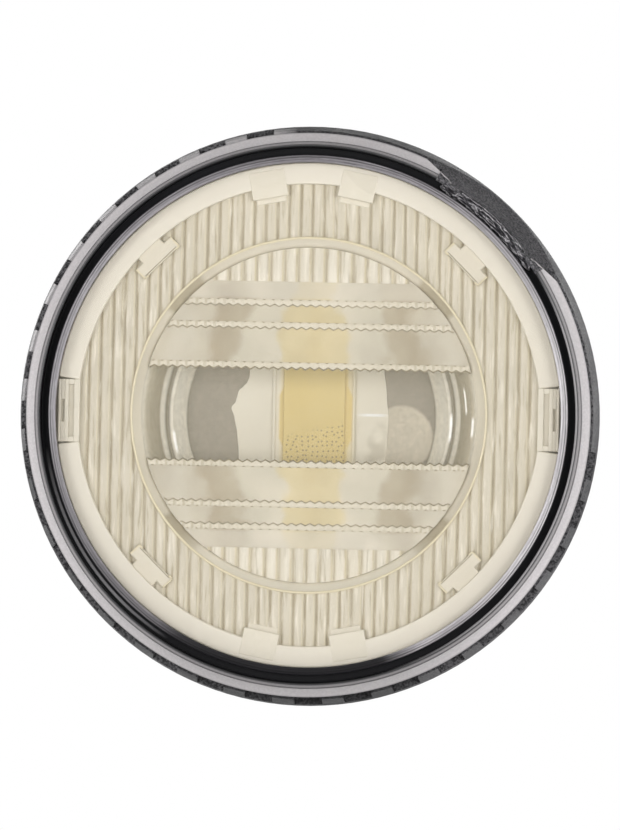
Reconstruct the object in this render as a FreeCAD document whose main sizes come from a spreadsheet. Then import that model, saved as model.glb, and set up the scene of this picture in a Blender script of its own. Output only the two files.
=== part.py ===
"""Round LED fog light, 4 inch class: sealed lamp body tilting on two pivots in a bolt-on ring.

Millimetres.  +Z is up, the beam leaves along -Y, and the origin is the centre of the mounting
ring's rear face.  A "front" or "forward" size counts forward (-Y) from that face, and a "back" size
counts behind it (+Y).
"""
import FreeCAD, Part
import os
import re
import Sketcher

Vector = FreeCAD.Vector
Rotation = FreeCAD.Rotation
Placement = FreeCAD.Placement

doc = FreeCAD.newDocument("fog_light")
sheet = doc.addObject("Spreadsheet::Sheet", "sizes")

SIZES = {
    # lamp housing: notched skirt, shallow bowl behind the lens, tube to the heat sink
    "rim_radius": 50.8,
    "rim_rear": 15.5,
    "ledge_radius": 49.7,
    "ledge_front": 26.2,
    "skirt_inner_rear": 48.4,
    "skirt_inner_front": 47.6,
    "rim_root": 22.4,
    "bowl_outer": 46.5,
    "bowl_rear": 16.6,
    "bowl_floor": 18.5,
    "bowl_inner": 44.3,
    "seat_front": 24.0,
    "seat_radius": 46.6,
    "tube_outer": 36.5,
    "tube_inner": 34.5,
    "tube_back": 12.0,
    "notch_floor": 49.2,
    "notch_rear": 18.0,
    "notch_width": 4.9,
    "notch_pitch": 10.0,
    "notch_first": 101.0,
    "notch_count": 26,
    # orientation flat at the upper right of the rim
    "facet_turn": 47.8,
    "facet_reach": 46.2,
    "facet_end": 50.8,
    "facet_rear": 17.0,
    "facet_arc": 29.6,
    # lens retaining ring
    "ring_lip": 47.2,
    "ring_front": 30.0,
    "ring_outer": 49.5,
    "ring_shoulder": 28.0,
    # outer lens and its seal
    "lens_radius": 45.4,
    "lens_leg_inner": 44.2,
    "lens_edge_front": 29.5,
    "lens_sphere": 607.0,
    "lens_crown": 31.2,
    "lens_thickness": 2.0,
    "seal_front": 27.2,
    # carrier ring with its T tabs
    "carrier_outer": 44.1,
    "carrier_inner": 40.4,
    "carrier_front": 26.0,
    "tab_neck_width": 5.2,
    "tab_neck_inner": 39.3,
    "tab_head_width": 8.3,
    "tab_head_inner": 37.0,
    "tab_front": 25.4,
    "tab_turn": 45.0,
    # fluted inner optic
    "optic_radius": 40.3,
    "optic_front": 24.2,
    "optic_rear": 22.2,
    "bead_outer": 31.3,
    "bead_front": 24.8,
    "wall_outer": 30.7,
    "wall_rear": 20.7,
    "window_radius": 29.3,
    "window_front": 23.4,
    "window_rear": 21.0,
    "ridge_width": 1.5,
    "ridge_front": 24.0,
    "ridge_inner": 8.75,
    "ridge_middle": 15.75,
    "ridge_outer": 19.7,
    "lug_width": 6.3,
    "lug_outer": 43.3,
    "lug_inner": 38.5,
    "lug_turn": 11.0,
    "clip_width": 11.0,
    "clip_outer": 43.75,
    "clip_slot": 0.9,
    "clip_slot_length": 9.0,
    "clip_slot_radius": 41.5,
    "part_gap": 0.1,
    # reflector
    "surround_inner": 31.0,
    "surround_front": 19.5,
    "cup_flange": 32.0,
    "cup_flange_front": 20.5,
    "cup_rim": 29.4,
    "cup_dark_step": 28.2,
    "cup_dark_front": 18.0,
    "cup_mid_step": 26.3,
    "cup_mid_front": 14.6,
    "cup_shelf_outer": 25.0,
    "cup_shelf_inner": 24.0,
    "cup_shelf_front": 11.5,
    "cup_floor_radius": 22.0,
    "cup_floor_front": 6.5,
    "cup_wall": 1.2,
    # light-emitting board
    "board_width": 25.0,
    "board_height": 44.0,
    "board_front": 6.6,
    "board_rear": 5.0,
    "phosphor_width": 10.8,
    "phosphor_height": 43.0,
    "phosphor_front": 7.4,
    "phosphor_offset": 0.5,
    "small_screw_x": 9.5,
    "small_screw_z": 16.5,
    "small_screw_radius": 1.25,
    "small_head_radius": 2.2,
    "small_head_height": 1.2,
    "small_screw_length": 6.0,
    "pad_thickness": 0.5,
    # heat sink
    "sink_radius": 36.5,
    "sink_back": 12.6,
    "sink_plate": 4.0,
    "pedestal_height": 38.0,
    "fin_count": 7,
    "fin_pitch": 6.0,
    "fin_thickness": 2.0,
    "fin_length": 14.4,
    "fin_height": 38.0,
    "gasket_inner": 34.8,
    "gasket_outer": 36.2,
    "boss_circle": 31.5,
    "boss_radius": 4.0,
    "boss_back": 5.0,
    "boss_turn": 50.0,
    "screw_radius": 1.5,
    "screw_clearance": 0.1,
    "screw_head_radius": 2.9,
    "screw_head_height": 2.4,
    "standoff_x": 24.0,
    "standoff_radius": 2.6,
    # driver electronics
    "driver_radius": 33.0,
    "driver_back": 3.0,
    "driver_thickness": 1.6,
    "driver_slot_width": 27.0,
    "driver_slot_height": 40.0,
    "part_column": 23.0,
    "coil_radius": 5.2,
    "coil_core": 2.2,
    "coil_height": 5.0,
    "coil_z": 10.0,
    "cap_radius": 4.0,
    "cap_height": 6.6,
    "cap_z": 9.5,
    "chip_side": 7.0,
    "chip_height": 1.4,
    "link_x": 4.0,
    "link_z": 21.0,
    "link_side": 0.8,
    # connector inlet
    "inlet_z": 27.6,
    "inlet_width": 15.0,
    "inlet_height": 10.0,
    "inlet_wall": 1.2,
    "inlet_back": 34.0,
    "inlet_floor_back": 19.0,
    "inlet_flange_width": 17.4,
    "inlet_flange_rise": 0.6,
    "inlet_flange_drop": 0.5,
    "inlet_flange_back": 9.6,
    "inlet_flange_thickness": 2.2,
    "key_width": 3.0,
    "key_height": 1.2,
    "pin_x": 2.6,
    "pin_width": 1.5,
    "pin_thickness": 0.8,
    "pin_back": 28.0,
    # breather
    "vent_z": 27.5,
    "vent_stem": 2.9,
    "vent_radius": 5.0,
    "vent_height": 3.0,
    "vent_slot": 1.2,
    # mounting ring, pivots and threaded inserts
    "mount_inner": 38.5,
    "mount_outer": 50.0,
    "mount_thickness": 10.0,
    "mount_chamfer": 0.8,
    "insert_circle": 44.0,
    "insert_radius": 4.0,
    "insert_bore": 2.5,
    "insert_length": 8.0,
    "insert_depth": 8.5,
    "pivot_front": 5.0,
    "pivot_radius": 2.5,
    "pivot_inner": 33.0,
    "pivot_outer": 48.5,
    "bush_radius": 4.0,
    "bush_clearance": 0.05,
    "bush_outer": 37.6,
    "pivot_boss_radius": 6.5,
    "pivot_boss_inner": 31.0,
    # aiming gear
    "aim_z": 44.0,
    "aim_radius": 2.9,
    "aim_clearance": 0.05,
    "aim_collar_radius": 4.0,
    "aim_collar_front": 11.6,
    "aim_collar_gap": 0.1,
    "aim_back": 24.0,
    "aim_hex_length": 4.0,
    "aim_hex_flats": 5.0,
    "clip_groove_radius": 2.3,
    "clip_groove_front": 1.8,
    "clip_thickness": 0.9,
    "aim_clip_radius": 4.3,
    "aim_clip_mouth": 3.6,
    "counterbore_radius": 4.8,
    "counterbore_depth": 2.2,
    "nut_back": 8.0,
    "nut_length": 8.0,
    "nut_width": 8.0,
    "nut_height": 9.0,
    "nut_pin_radius": 2.0,
    "nut_pin_reach": 6.2,
    "ear_inner": 4.3,
    "ear_outer": 6.4,
    "ear_back": 4.0,
    "ear_length": 8.0,
    "ear_tip": 49.3,
    "ear_root": 34.8,
    "ear_slot_gap": 0.15,
    "ear_slot_travel": 1.3,
}

for row, (alias, value) in enumerate(SIZES.items(), start=1):
    sheet.set(f"A{row}", str(value))
    sheet.setAlias(f"A{row}", alias)
doc.recompute()


def size(alias):
    """The plain number in one cell of the sheet."""
    return float(getattr(sheet, alias))


def formula(text):
    """Words with an underscore are cells of the sheet."""
    return re.sub(r"\b([a-z]+(?:_[a-z]+)+)\b", r"sizes.\1", str(text))


def bind(thing, path, text):
    thing.setExpression(path, formula(text))


# ---- PartDesign helpers -------------------------------------------------------------------------

SIDES = (("right", 1), ("left", -1))
QUARTERS = ((1, 1), (-1, 1), (-1, -1), (1, -1))


def new_body(label):
    body = doc.addObject("PartDesign::Body", label)
    body.Label = label
    return body


def plane_of(body, role):
    return next(plane for plane in body.Origin.OriginFeatures if plane.Role == role)


def outline(body, name, role, corners, lift=None, turn=None):
    """A closed outline on an origin plane; each corner's two coordinates are formulas."""
    sketch = body.newObject("Sketcher::SketchObject", name)
    sketch.AttachmentSupport = [(plane_of(body, role), "")]
    sketch.MapMode = "FlatFace"
    if turn is not None:
        sketch.AttachmentOffset = Placement(Vector(), Rotation(Vector(0, 0, 1), turn))
    if lift is not None:
        bind(sketch, "AttachmentOffset.Base.z", lift)
    count = len(corners)
    start = [Rotation(Vector(0, 0, 1), 360 * i / count).multVec(Vector(20, 0, 0)) for i in range(count)]
    for i in range(count):
        sketch.addGeometry(Part.LineSegment(start[i], start[(i + 1) % count]))
    for i in range(count):
        sketch.addConstraint(Sketcher.Constraint("Coincident", i, 2, (i + 1) % count, 1))
    for i, (across, along) in enumerate(corners):
        for kind, text, here in (("DistanceX", across, start[i].x), ("DistanceY", along, start[i].y)):
            index = sketch.addConstraint(Sketcher.Constraint(kind, -1, 1, i, 1, here))
            bind(sketch, f"Constraints[{index}]", text)
    return sketch


def turned(body, name, corners, angle=None):
    """Turn an outline of (radius, y) corners about the beam axis."""
    sketch = outline(body, f"{name}_outline", "XY_Plane", corners)
    feature = body.newObject("PartDesign::Revolution", name)
    feature.Profile = sketch
    feature.ReferenceAxis = (sketch, ["V_Axis"])
    feature.Angle = 360
    if angle is not None:
        bind(feature, "Angle", angle)
    doc.recompute()
    return feature


def slab(body, name, corners, front, thickness, turn=None, cut=False):
    """An outline of (x, z) corners at `front`, carried rearwards by `thickness`."""
    sketch = outline(body, f"{name}_outline", "XZ_Plane", corners, lift=front, turn=turn)
    feature = body.newObject("PartDesign::Pocket" if cut else "PartDesign::Pad", name)
    feature.Profile = sketch
    feature.Reversed = not cut
    bind(feature, "Length", thickness)
    doc.recompute()
    return feature


def around(body, feature, count, span):
    """Repeat a slab about the beam axis."""
    pattern = body.newObject("PartDesign::PolarPattern", f"{feature.Name}_pattern")
    pattern.Originals = [feature]
    pattern.Axis = (feature.Profile[0], ["N_Axis"])
    pattern.Angle = span
    pattern.Occurrences = count
    body.Tip = pattern
    doc.recompute()
    return pattern


def box_corners(x_low, x_high, z_low, z_high):
    return [(x_low, z_low), (x_high, z_low), (x_high, z_high), (x_low, z_high)]


# ---- Part helpers -------------------------------------------------------------------------------

ALONG = {
    "X": Rotation(Vector(0, 1, 0), 90),
    "Y": Rotation(Vector(1, 0, 0), -90),
    "Z": Rotation(),
}


def place(thing, x, y, z):
    for axis, text in zip("xyz", (x, y, z)):
        bind(thing, f"Placement.Base.{axis}", text)


def block(name, x_span, y_span, z_span):
    """A box between a low and a high formula on each axis."""
    box = doc.addObject("Part::Box", name)
    for side, (low, high) in zip(("Length", "Width", "Height"), (x_span, y_span, z_span)):
        bind(box, side, f"({high}) - ({low})")
    place(box, x_span[0], y_span[0], z_span[0])
    return box


def rod(name, along, start, radius, length):
    """A cylinder from a start point along +X, +Y or +Z."""
    cylinder = doc.addObject("Part::Cylinder", name)
    cylinder.Placement = Placement(Vector(), ALONG[along])
    bind(cylinder, "Radius", radius)
    bind(cylinder, "Height", length)
    place(cylinder, *start)
    return cylinder


def fuse(name, pieces):
    joined = doc.addObject("Part::MultiFuse", name)
    joined.Shapes = pieces
    return joined


def cut(name, base, tools):
    piece = doc.addObject("Part::Cut", name)
    piece.Base = base
    piece.Tool = tools[0] if len(tools) == 1 else fuse(f"{name}_tools", tools)
    return piece


def common(name, first, second):
    shared = doc.addObject("Part::MultiCommon", name)
    shared.Shapes = [first, second]
    return shared


def group(name, pieces):
    """Identical loose pieces that share one node."""
    bundle = doc.addObject("Part::Compound", name)
    bundle.Links = pieces
    return bundle


def polar(circle, turn):
    """Formulas for the x and z of a point on a circle about the beam axis."""
    return f"{circle} * cos({turn})", f"{circle} * sin({turn})"


def boss_points():
    x, z = polar("boss_circle", "boss_turn")
    return [(f"{x_sign} * {x}", f"{z_sign} * {z}") for x_sign, z_sign in QUARTERS]


# ---- lamp housing and front ---------------------------------------------------------------------

RIM_SECTION = [
    ("seat_radius", "-ledge_front"),
    ("seat_radius", "-ring_front + 0.5 * (ring_lip - seat_radius)"),
    ("seat_radius + 0.5 * (ring_lip - seat_radius)", "-ring_front"),
    ("ring_lip", "-ring_front"),
    ("ring_outer", "-ring_shoulder"),
    ("ring_outer", "-ledge_front"),
]
DRIVER_FACE = "driver_back + driver_thickness"
FACET_SLOPE = "(facet_end - facet_reach) / (ring_front - facet_rear)"


def turn_arc(body, name, corners, angle):
    """Turn an outline through part of a circle, half of it to each side of +X."""
    feature = turned(body, name, corners, angle=angle)
    feature.Midplane = True
    doc.recompute()
    return feature


def facet_tool(name):
    """A wedge lying over the sloped flat of the rim, pointing along +X before it is turned."""
    body = new_body(name)
    reach_far = "facet_reach + 12"
    sketch = outline(body, f"{name}_outline", "XY_Plane", [
        ("facet_reach", "-ring_front"),
        ("facet_end", "-facet_rear"),
        (reach_far, "-facet_rear"),
        (reach_far, "-ring_front - 4"),
        (f"facet_reach - 4 * {FACET_SLOPE}", "-ring_front - 4"),
    ])
    pad = body.newObject("PartDesign::Pad", f"{name}_pad")
    pad.Profile = sketch
    pad.Midplane = True
    pad.Length = size("rim_radius") * 1.2
    doc.recompute()
    return body


def at_facet(thing):
    """Turn a piece drawn on +X to the flat's place on the rim."""
    thing.Placement = Placement(Vector(), Rotation(Vector(0, -1, 0), size("facet_turn")))
    return thing


def make_housing():
    body = new_body("housing_shell")
    turned(body, "housing_wall", [
        ("ledge_radius", "-ledge_front"),
        ("rim_radius", "-rim_rear"),
        ("skirt_inner_rear", "-rim_rear"),
        ("skirt_inner_front", "-rim_root"),
        ("bowl_outer", "-rim_root"),
        ("bowl_outer", "-bowl_rear"),
        ("tube_outer", "-bowl_rear"),
        ("tube_outer", "tube_back"),
        ("tube_inner", "tube_back"),
        ("tube_inner", "-bowl_floor"),
        ("bowl_inner", "-bowl_floor"),
        ("bowl_inner", "-seat_front"),
        ("seat_radius", "-seat_front"),
        ("seat_radius", "-ledge_front"),
    ])
    notch = slab(body, "notch", box_corners("notch_floor", "rim_radius + 1", "-0.5 * notch_width",
                                            "0.5 * notch_width"),
                 "ledge_front + 1", "ledge_front + 1 - notch_rear", turn=size("notch_first"), cut=True)
    notch_count = int(size("notch_count"))
    around(body, notch, notch_count, size("notch_pitch") * (notch_count - 1))

    rim_block = new_body("flat_block")
    turn_arc(rim_block, "flat_block_turned", RIM_SECTION, "facet_arc")
    at_facet(rim_block)

    pieces = [body, rim_block]
    for side, sign in SIDES:
        start = "pivot_boss_inner" if sign > 0 else "-tube_inner - 1"
        pieces.append(rod(f"pivot_boss_{side}", "X", (start, "-pivot_front", 0),
                          "pivot_boss_radius", "tube_inner + 1 - pivot_boss_inner"))
    for index, (x, z) in enumerate(boss_points()):
        pieces.append(rod(f"screw_boss_{index}", "Y", (x, "boss_back", z), "boss_radius",
                          "tube_back - boss_back"))
    for side, sign in SIDES:
        span = ("ear_inner", "ear_outer") if sign > 0 else ("-ear_outer", "-ear_inner")
        pieces.append(block(f"ear_{side}", span, ("ear_back", "ear_back + ear_length"),
                            ("-ear_tip", "-ear_root")))

    tools = [at_facet(facet_tool("housing_flat"))]
    for side, sign in SIDES:
        start = "pivot_inner" if sign > 0 else "-tube_outer - 1"
        tools.append(rod(f"bush_pocket_{side}", "X", (start, "-pivot_front", 0), "bush_radius",
                         "tube_outer + 1 - pivot_inner"))
    for index, (x, z) in enumerate(boss_points()):
        tools.append(rod(f"boss_thread_{index}", "Y", (x, "boss_back + 1", z), "screw_radius",
                         "tube_back - boss_back"))
    slot_half = "nut_pin_radius + ear_slot_gap"
    tools.append(block("ear_slot", ("-ear_outer - 1", "ear_outer + 1"),
                       (f"nut_back - ({slot_half})", f"nut_back + {slot_half}"),
                       ("-aim_z - nut_pin_radius - ear_slot_travel",
                        "-aim_z + nut_pin_radius + ear_slot_travel")))
    return cut("housing", fuse("housing_solid", pieces), tools)


def make_retaining_ring():
    ring = new_body("ring_turned")
    turned(ring, "ring_turn", RIM_SECTION)
    gap = new_body("ring_gap")
    turn_arc(gap, "ring_gap_turn", [
        ("seat_radius - 1", "-ring_front - 1"),
        ("ring_outer + 1", "-ring_front - 1"),
        ("ring_outer + 1", "-ledge_front + 1"),
        ("seat_radius - 1", "-ledge_front + 1"),
    ], "facet_arc")
    return cut("retaining_ring", ring, [at_facet(gap), at_facet(facet_tool("ring_flat"))])


def make_outer_lens():
    crown = doc.addObject("Part::Sphere", "lens_crown_sphere")
    bind(crown, "Radius", "lens_sphere")
    bind(crown, "Placement.Base.y", "lens_sphere - lens_crown")
    inside = doc.addObject("Part::Sphere", "lens_inside_sphere")
    bind(inside, "Radius", "lens_sphere - lens_thickness")
    bind(inside, "Placement.Base.y", "lens_sphere - lens_crown")
    blank = rod("lens_blank", "Y", (0, "-lens_crown - 1", 0), "lens_radius",
                "lens_crown + 1 - seat_front")
    hollow = rod("lens_hollow", "Y", (0, "-lens_crown - 1", 0), "lens_leg_inner",
                 "lens_crown + 2 - seat_front")
    hollow_back = common("lens_hollow_back", hollow, inside)
    return cut("outer_lens", common("lens_solid", blank, crown), [hollow_back])


def make_lens_seal():
    body = new_body("lens_seal")
    turned(body, "seal_turn", [
        ("lens_radius", "-seat_front"),
        ("lens_radius", "-seal_front"),
        ("seat_radius", "-seal_front"),
        ("seat_radius", "-seat_front"),
    ])
    return body


def make_carrier_ring():
    body = new_body("carrier_ring")
    turned(body, "carrier_turn", [
        ("carrier_inner", "-bowl_floor"),
        ("carrier_inner", "-carrier_front"),
        ("carrier_outer", "-carrier_front"),
        ("carrier_outer", "-bowl_floor"),
    ])
    depth = "carrier_front + 1 - optic_rear"
    clip_notch = slab(body, "clip_notch", box_corners(
        "carrier_inner - 1", "carrier_outer + 1", "-0.5 * clip_width - part_gap",
        "0.5 * clip_width + part_gap"), "carrier_front + 1", depth, cut=True)
    around(body, clip_notch, 2, 360)
    for index, turn in enumerate((90 - size("lug_turn"), 90 + size("lug_turn"))):
        lug_notch = slab(body, f"lug_notch_{index}", box_corners(
            "carrier_inner - 1", "lug_outer + part_gap", "-0.5 * lug_width - part_gap",
            "0.5 * lug_width + part_gap"), "carrier_front + 1", depth, turn=turn, cut=True)
        around(body, lug_notch, 2, 360)
    tab = slab(body, "tab", [
        ("tab_head_inner", "-0.5 * tab_head_width"),
        ("tab_neck_inner", "-0.5 * tab_head_width"),
        ("tab_neck_inner", "-0.5 * tab_neck_width"),
        ("carrier_inner + 0.4", "-0.5 * tab_neck_width"),
        ("carrier_inner + 0.4", "0.5 * tab_neck_width"),
        ("tab_neck_inner", "0.5 * tab_neck_width"),
        ("tab_neck_inner", "0.5 * tab_head_width"),
        ("tab_head_inner", "0.5 * tab_head_width"),
    ], "tab_front", "tab_front - optic_front", turn=size("tab_turn"))
    around(body, tab, 4, 360)
    return body


def make_inner_optic():
    body = new_body("inner_optic")
    turned(body, "optic_turn", [
        (0, "-window_front"),
        ("window_radius", "-window_front"),
        ("wall_outer - 0.3", "-bead_front + 0.5"),
        ("wall_outer", "-bead_front"),
        ("bead_outer", "-bead_front"),
        ("bead_outer", "-optic_front"),
        ("optic_radius", "-optic_front"),
        ("optic_radius", "-optic_rear"),
        ("bead_outer", "-optic_rear"),
        ("wall_outer", "-wall_rear"),
        ("window_radius", "-wall_rear"),
        ("window_radius", "-window_rear"),
        (0, "-window_rear"),
    ])
    for name in ("inner", "middle", "outer"):
        for side, sign in (("upper", ""), ("lower", "-")):
            z = f"{sign}ridge_{name}"
            half = f"(sqrt(window_radius ^ 2 - (ridge_{name} + 0.5 * ridge_width) ^ 2) - part_gap)"
            slab(body, f"ridge_{name}_{side}", box_corners(
                f"-{half}", half, f"{z} - 0.5 * ridge_width", f"{z} + 0.5 * ridge_width"),
                "ridge_front", "ridge_front - window_front + 0.5")
    lug_depth = "optic_front - optic_rear"
    clip = slab(body, "clip", box_corners("optic_radius - 0.5", "clip_outer", "-0.5 * clip_width",
                                          "0.5 * clip_width"),
                "carrier_front", "carrier_front - optic_rear")
    around(body, clip, 2, 360)
    slot = slab(body, "clip_slot_cut", box_corners(
        "clip_slot_radius - 0.5 * clip_slot", "clip_slot_radius + 0.5 * clip_slot",
        "-0.5 * clip_slot_length", "0.5 * clip_slot_length"),
        "carrier_front + 1", "carrier_front + 1 - optic_front + 0.5", cut=True)
    around(body, slot, 2, 360)
    for index, turn in enumerate((90 - size("lug_turn"), 90 + size("lug_turn"))):
        lug = slab(body, f"lug_{index}", box_corners("lug_inner", "lug_outer", "-0.5 * lug_width",
                                                     "0.5 * lug_width"),
                   "optic_front + 0.8", f"{lug_depth} + 0.8", turn=turn)
        around(body, lug, 2, 360)
    return body


def make_reflector_surround():
    body = new_body("reflector_surround")
    turned(body, "surround_turn", [
        ("surround_inner", "-surround_front"),
        ("carrier_inner - part_gap", "-surround_front"),
        ("carrier_inner - part_gap", "-bowl_floor"),
        ("surround_inner", "-bowl_floor"),
    ])
    return body


def make_reflector_cup():
    body = new_body("reflector_cup")
    turned(body, "cup_turn", [
        (0, "-cup_floor_front"),
        ("cup_floor_radius", "-cup_floor_front"),
        ("cup_shelf_inner", "-cup_shelf_front"),
        ("cup_shelf_outer", "-cup_shelf_front"),
        ("cup_mid_step", "-cup_mid_front"),
        ("cup_dark_step", "-cup_dark_front"),
        ("cup_rim", "-cup_flange_front"),
        ("cup_flange", "-cup_flange_front"),
        ("cup_flange", "-surround_front"),
        ("cup_rim + cup_wall", "-surround_front"),
        ("cup_dark_step + cup_wall", "-cup_dark_front + 0.6"),
        ("cup_mid_step + cup_wall", "-cup_mid_front + 0.6"),
        ("cup_shelf_outer + cup_wall", "-cup_shelf_front + cup_wall"),
        ("cup_shelf_inner + cup_wall", "-cup_shelf_front + cup_wall"),
        ("cup_floor_radius + cup_wall", "-board_rear"),
        (0, "-board_rear"),
    ])
    slab(body, "board_slot", box_corners(
        "-0.5 * board_width - part_gap", "0.5 * board_width + part_gap",
        "-0.5 * board_height - part_gap", "0.5 * board_height + part_gap"),
        "cup_shelf_front + 1", "cup_shelf_front + 2", cut=True)
    return body


# ---- light engine -------------------------------------------------------------------------------

def centred(width):
    return f"-0.5 * {width}", f"0.5 * {width}"


def small_screw_points():
    return (("small_screw_x", "small_screw_z"), ("-small_screw_x", "-small_screw_z"))


def make_led_board():
    board = block("led_board_blank", centred("board_width"), ("-board_front", "-board_rear"),
                  centred("board_height"))
    holes = [rod(f"led_board_hole_{index}", "Y", (x, "-board_front - 1", z), "small_screw_radius",
                 "board_front - board_rear + 2")
             for index, (x, z) in enumerate(small_screw_points())]
    return cut("led_board", board, holes)


def make_led_phosphor():
    return block("led_phosphor", ("phosphor_offset - 0.5 * phosphor_width",
                                  "phosphor_offset + 0.5 * phosphor_width"),
                 ("-phosphor_front", "-board_front"), centred("phosphor_height"))


def make_screws(name, points, head_back, head_height, head_radius, radius, length, forward):
    """Pan-head screws with a cross recess; `forward` ones point their heads to the front."""
    screws = []
    for index, (x, z) in enumerate(points):
        if forward:
            head_start, shank_start = f"{head_back} - {head_height}", head_back
            recess_start = f"{head_back} - {head_height}"
        else:
            head_start, shank_start = head_back, f"{head_back} - {length}"
            recess_start = f"{head_back} + 0.5 * {head_height}"
        solid = fuse(f"{name}_solid_{index}", [
            rod(f"{name}_head_{index}", "Y", (x, head_start, z), head_radius, head_height),
            rod(f"{name}_shank_{index}", "Y", (x, shank_start, z), radius, length),
        ])
        arm, half = f"0.6 * {head_radius}", f"0.14 * {head_radius}"
        depth = (recess_start, f"{recess_start} + 0.5 * {head_height}")
        recess = [
            block(f"{name}_recess_a_{index}", (f"{x} - {arm}", f"{x} + {arm}"), depth,
                  (f"{z} - {half}", f"{z} + {half}")),
            block(f"{name}_recess_b_{index}", (f"{x} - {half}", f"{x} + {half}"), depth,
                  (f"{z} - {arm}", f"{z} + {arm}")),
        ]
        screws.append(cut(f"{name}_{index}", solid, recess))
    return group(name, screws)


def make_thermal_pad():
    pad = block("thermal_pad_blank", centred("board_width"), ("-board_rear", "-board_rear + pad_thickness"),
                centred("pedestal_height"))
    holes = [rod(f"thermal_pad_hole_{index}", "Y", (x, "-board_rear - 1", z), "small_screw_radius",
                 "pad_thickness + 2")
             for index, (x, z) in enumerate(small_screw_points())]
    return cut("thermal_pad", pad, holes)


def make_heat_sink():
    top = "sink_back + sink_plate"
    pieces = [
        rod("sink_disc", "Y", (0, "sink_back", 0), "sink_radius", "sink_plate"),
        block("sink_pedestal", centred("board_width"), ("-board_rear + pad_thickness", "sink_back + 1"),
              centred("pedestal_height")),
    ]
    fin_count = int(size("fin_count"))
    for index in range(fin_count):
        x = f"{index - (fin_count - 1) / 2} * fin_pitch"
        pieces.append(block(f"fin_{index}", (f"{x} - 0.5 * fin_thickness", f"{x} + 0.5 * fin_thickness"),
                            ("sink_back + 1", f"{top} + fin_length"), centred("fin_height")))
    for side, sign in SIDES:
        pieces.append(rod(f"standoff_{side}", "Y", (f"{sign} * standoff_x", DRIVER_FACE, 0),
                          "standoff_radius", f"sink_back + 1 - ({DRIVER_FACE})"))
    tools = [rod(f"sink_screw_hole_{index}", "Y", (x, "sink_back - 1", z), "screw_radius + screw_clearance",
                 "sink_plate + 2")
             for index, (x, z) in enumerate(boss_points())]
    tools += [rod(f"sink_thread_{index}", "Y", (x, "-board_rear", z), "small_screw_radius",
                  "small_screw_length")
              for index, (x, z) in enumerate(small_screw_points())]
    tools += [rod(f"standoff_thread_{side}", "Y", (f"{sign} * standoff_x", "driver_back", 0),
                  "small_screw_radius", "small_screw_length")
              for side, sign in SIDES]
    tools.append(block("sink_inlet_cut", ("-0.5 * inlet_width - part_gap", "0.5 * inlet_width + part_gap"),
                       ("sink_back - 1", f"{top} + 1"),
                       ("-inlet_z - 0.5 * inlet_height - part_gap",
                        "-inlet_z + 0.5 * inlet_height + part_gap")))
    tools.append(rod("sink_vent_hole", "Y", (0, "sink_back - 1", "vent_z"), "vent_stem", "sink_plate + 2"))
    return cut("heat_sink", fuse("sink_solid", pieces), tools)


def make_heat_sink_gasket():
    body = new_body("heat_sink_gasket")
    turned(body, "gasket_turn", [
        ("gasket_inner", "tube_back"),
        ("gasket_outer", "tube_back"),
        ("gasket_outer", "sink_back"),
        ("gasket_inner", "sink_back"),
    ])
    return body


# ---- driver electronics -------------------------------------------------------------------------

def standoff_points():
    return (("standoff_x", "0"), ("-standoff_x", "0"))


def make_driver_board():
    disc = rod("driver_disc", "Y", (0, "driver_back", 0), "driver_radius", "driver_thickness")
    tools = [block("driver_slot", centred("driver_slot_width"), ("driver_back - 1", "driver_back + 3"),
                   centred("driver_slot_height"))]
    tools += [rod(f"driver_hole_{index}", "Y", (x, "driver_back - 1", z), "small_screw_radius", 4)
              for index, (x, z) in enumerate(standoff_points())]
    return cut("driver_board", disc, tools)


def make_driver_inductor():
    coil = rod("coil_outside", "Y", ("-part_column", DRIVER_FACE, "coil_z"), "coil_radius", "coil_height")
    core = rod("coil_inside", "Y", ("-part_column", f"{DRIVER_FACE} - 1", "coil_z"), "coil_core",
               "coil_height + 2")
    return cut("driver_inductor", coil, [core])


def make_driver_capacitors():
    cans = [rod(f"capacitor_{index}", "Y", ("part_column", DRIVER_FACE, f"{sign} * cap_z"), "cap_radius",
                "cap_height")
            for index, sign in enumerate((1, -1))]
    return group("driver_capacitors", cans)


def make_driver_chip():
    return block("driver_chip", ("-part_column - 0.5 * chip_side", "-part_column + 0.5 * chip_side"),
                 (DRIVER_FACE, f"{DRIVER_FACE} + chip_height"),
                 ("-cap_z - 0.5 * chip_side", "-cap_z + 0.5 * chip_side"))


def make_link_pins():
    pins = [block(f"link_pin_{index}", (f"{sign} * link_x - 0.5 * link_side",
                                        f"{sign} * link_x + 0.5 * link_side"),
                  ("-board_rear", "driver_back"),
                  ("-link_z - 0.5 * link_side", "-link_z + 0.5 * link_side"))
            for index, sign in enumerate((1, -1))]
    return group("link_pins", pins)


# ---- connector inlet and breather ---------------------------------------------------------------

def pin_blocks(name, front, back):
    return [block(f"{name}_{index}",
                  (f"{sign} * pin_x - 0.5 * pin_width", f"{sign} * pin_x + 0.5 * pin_width"),
                  (front, back), ("-inlet_z - 0.5 * pin_thickness", "-inlet_z + 0.5 * pin_thickness"))
            for index, sign in enumerate((1, -1))]


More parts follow.
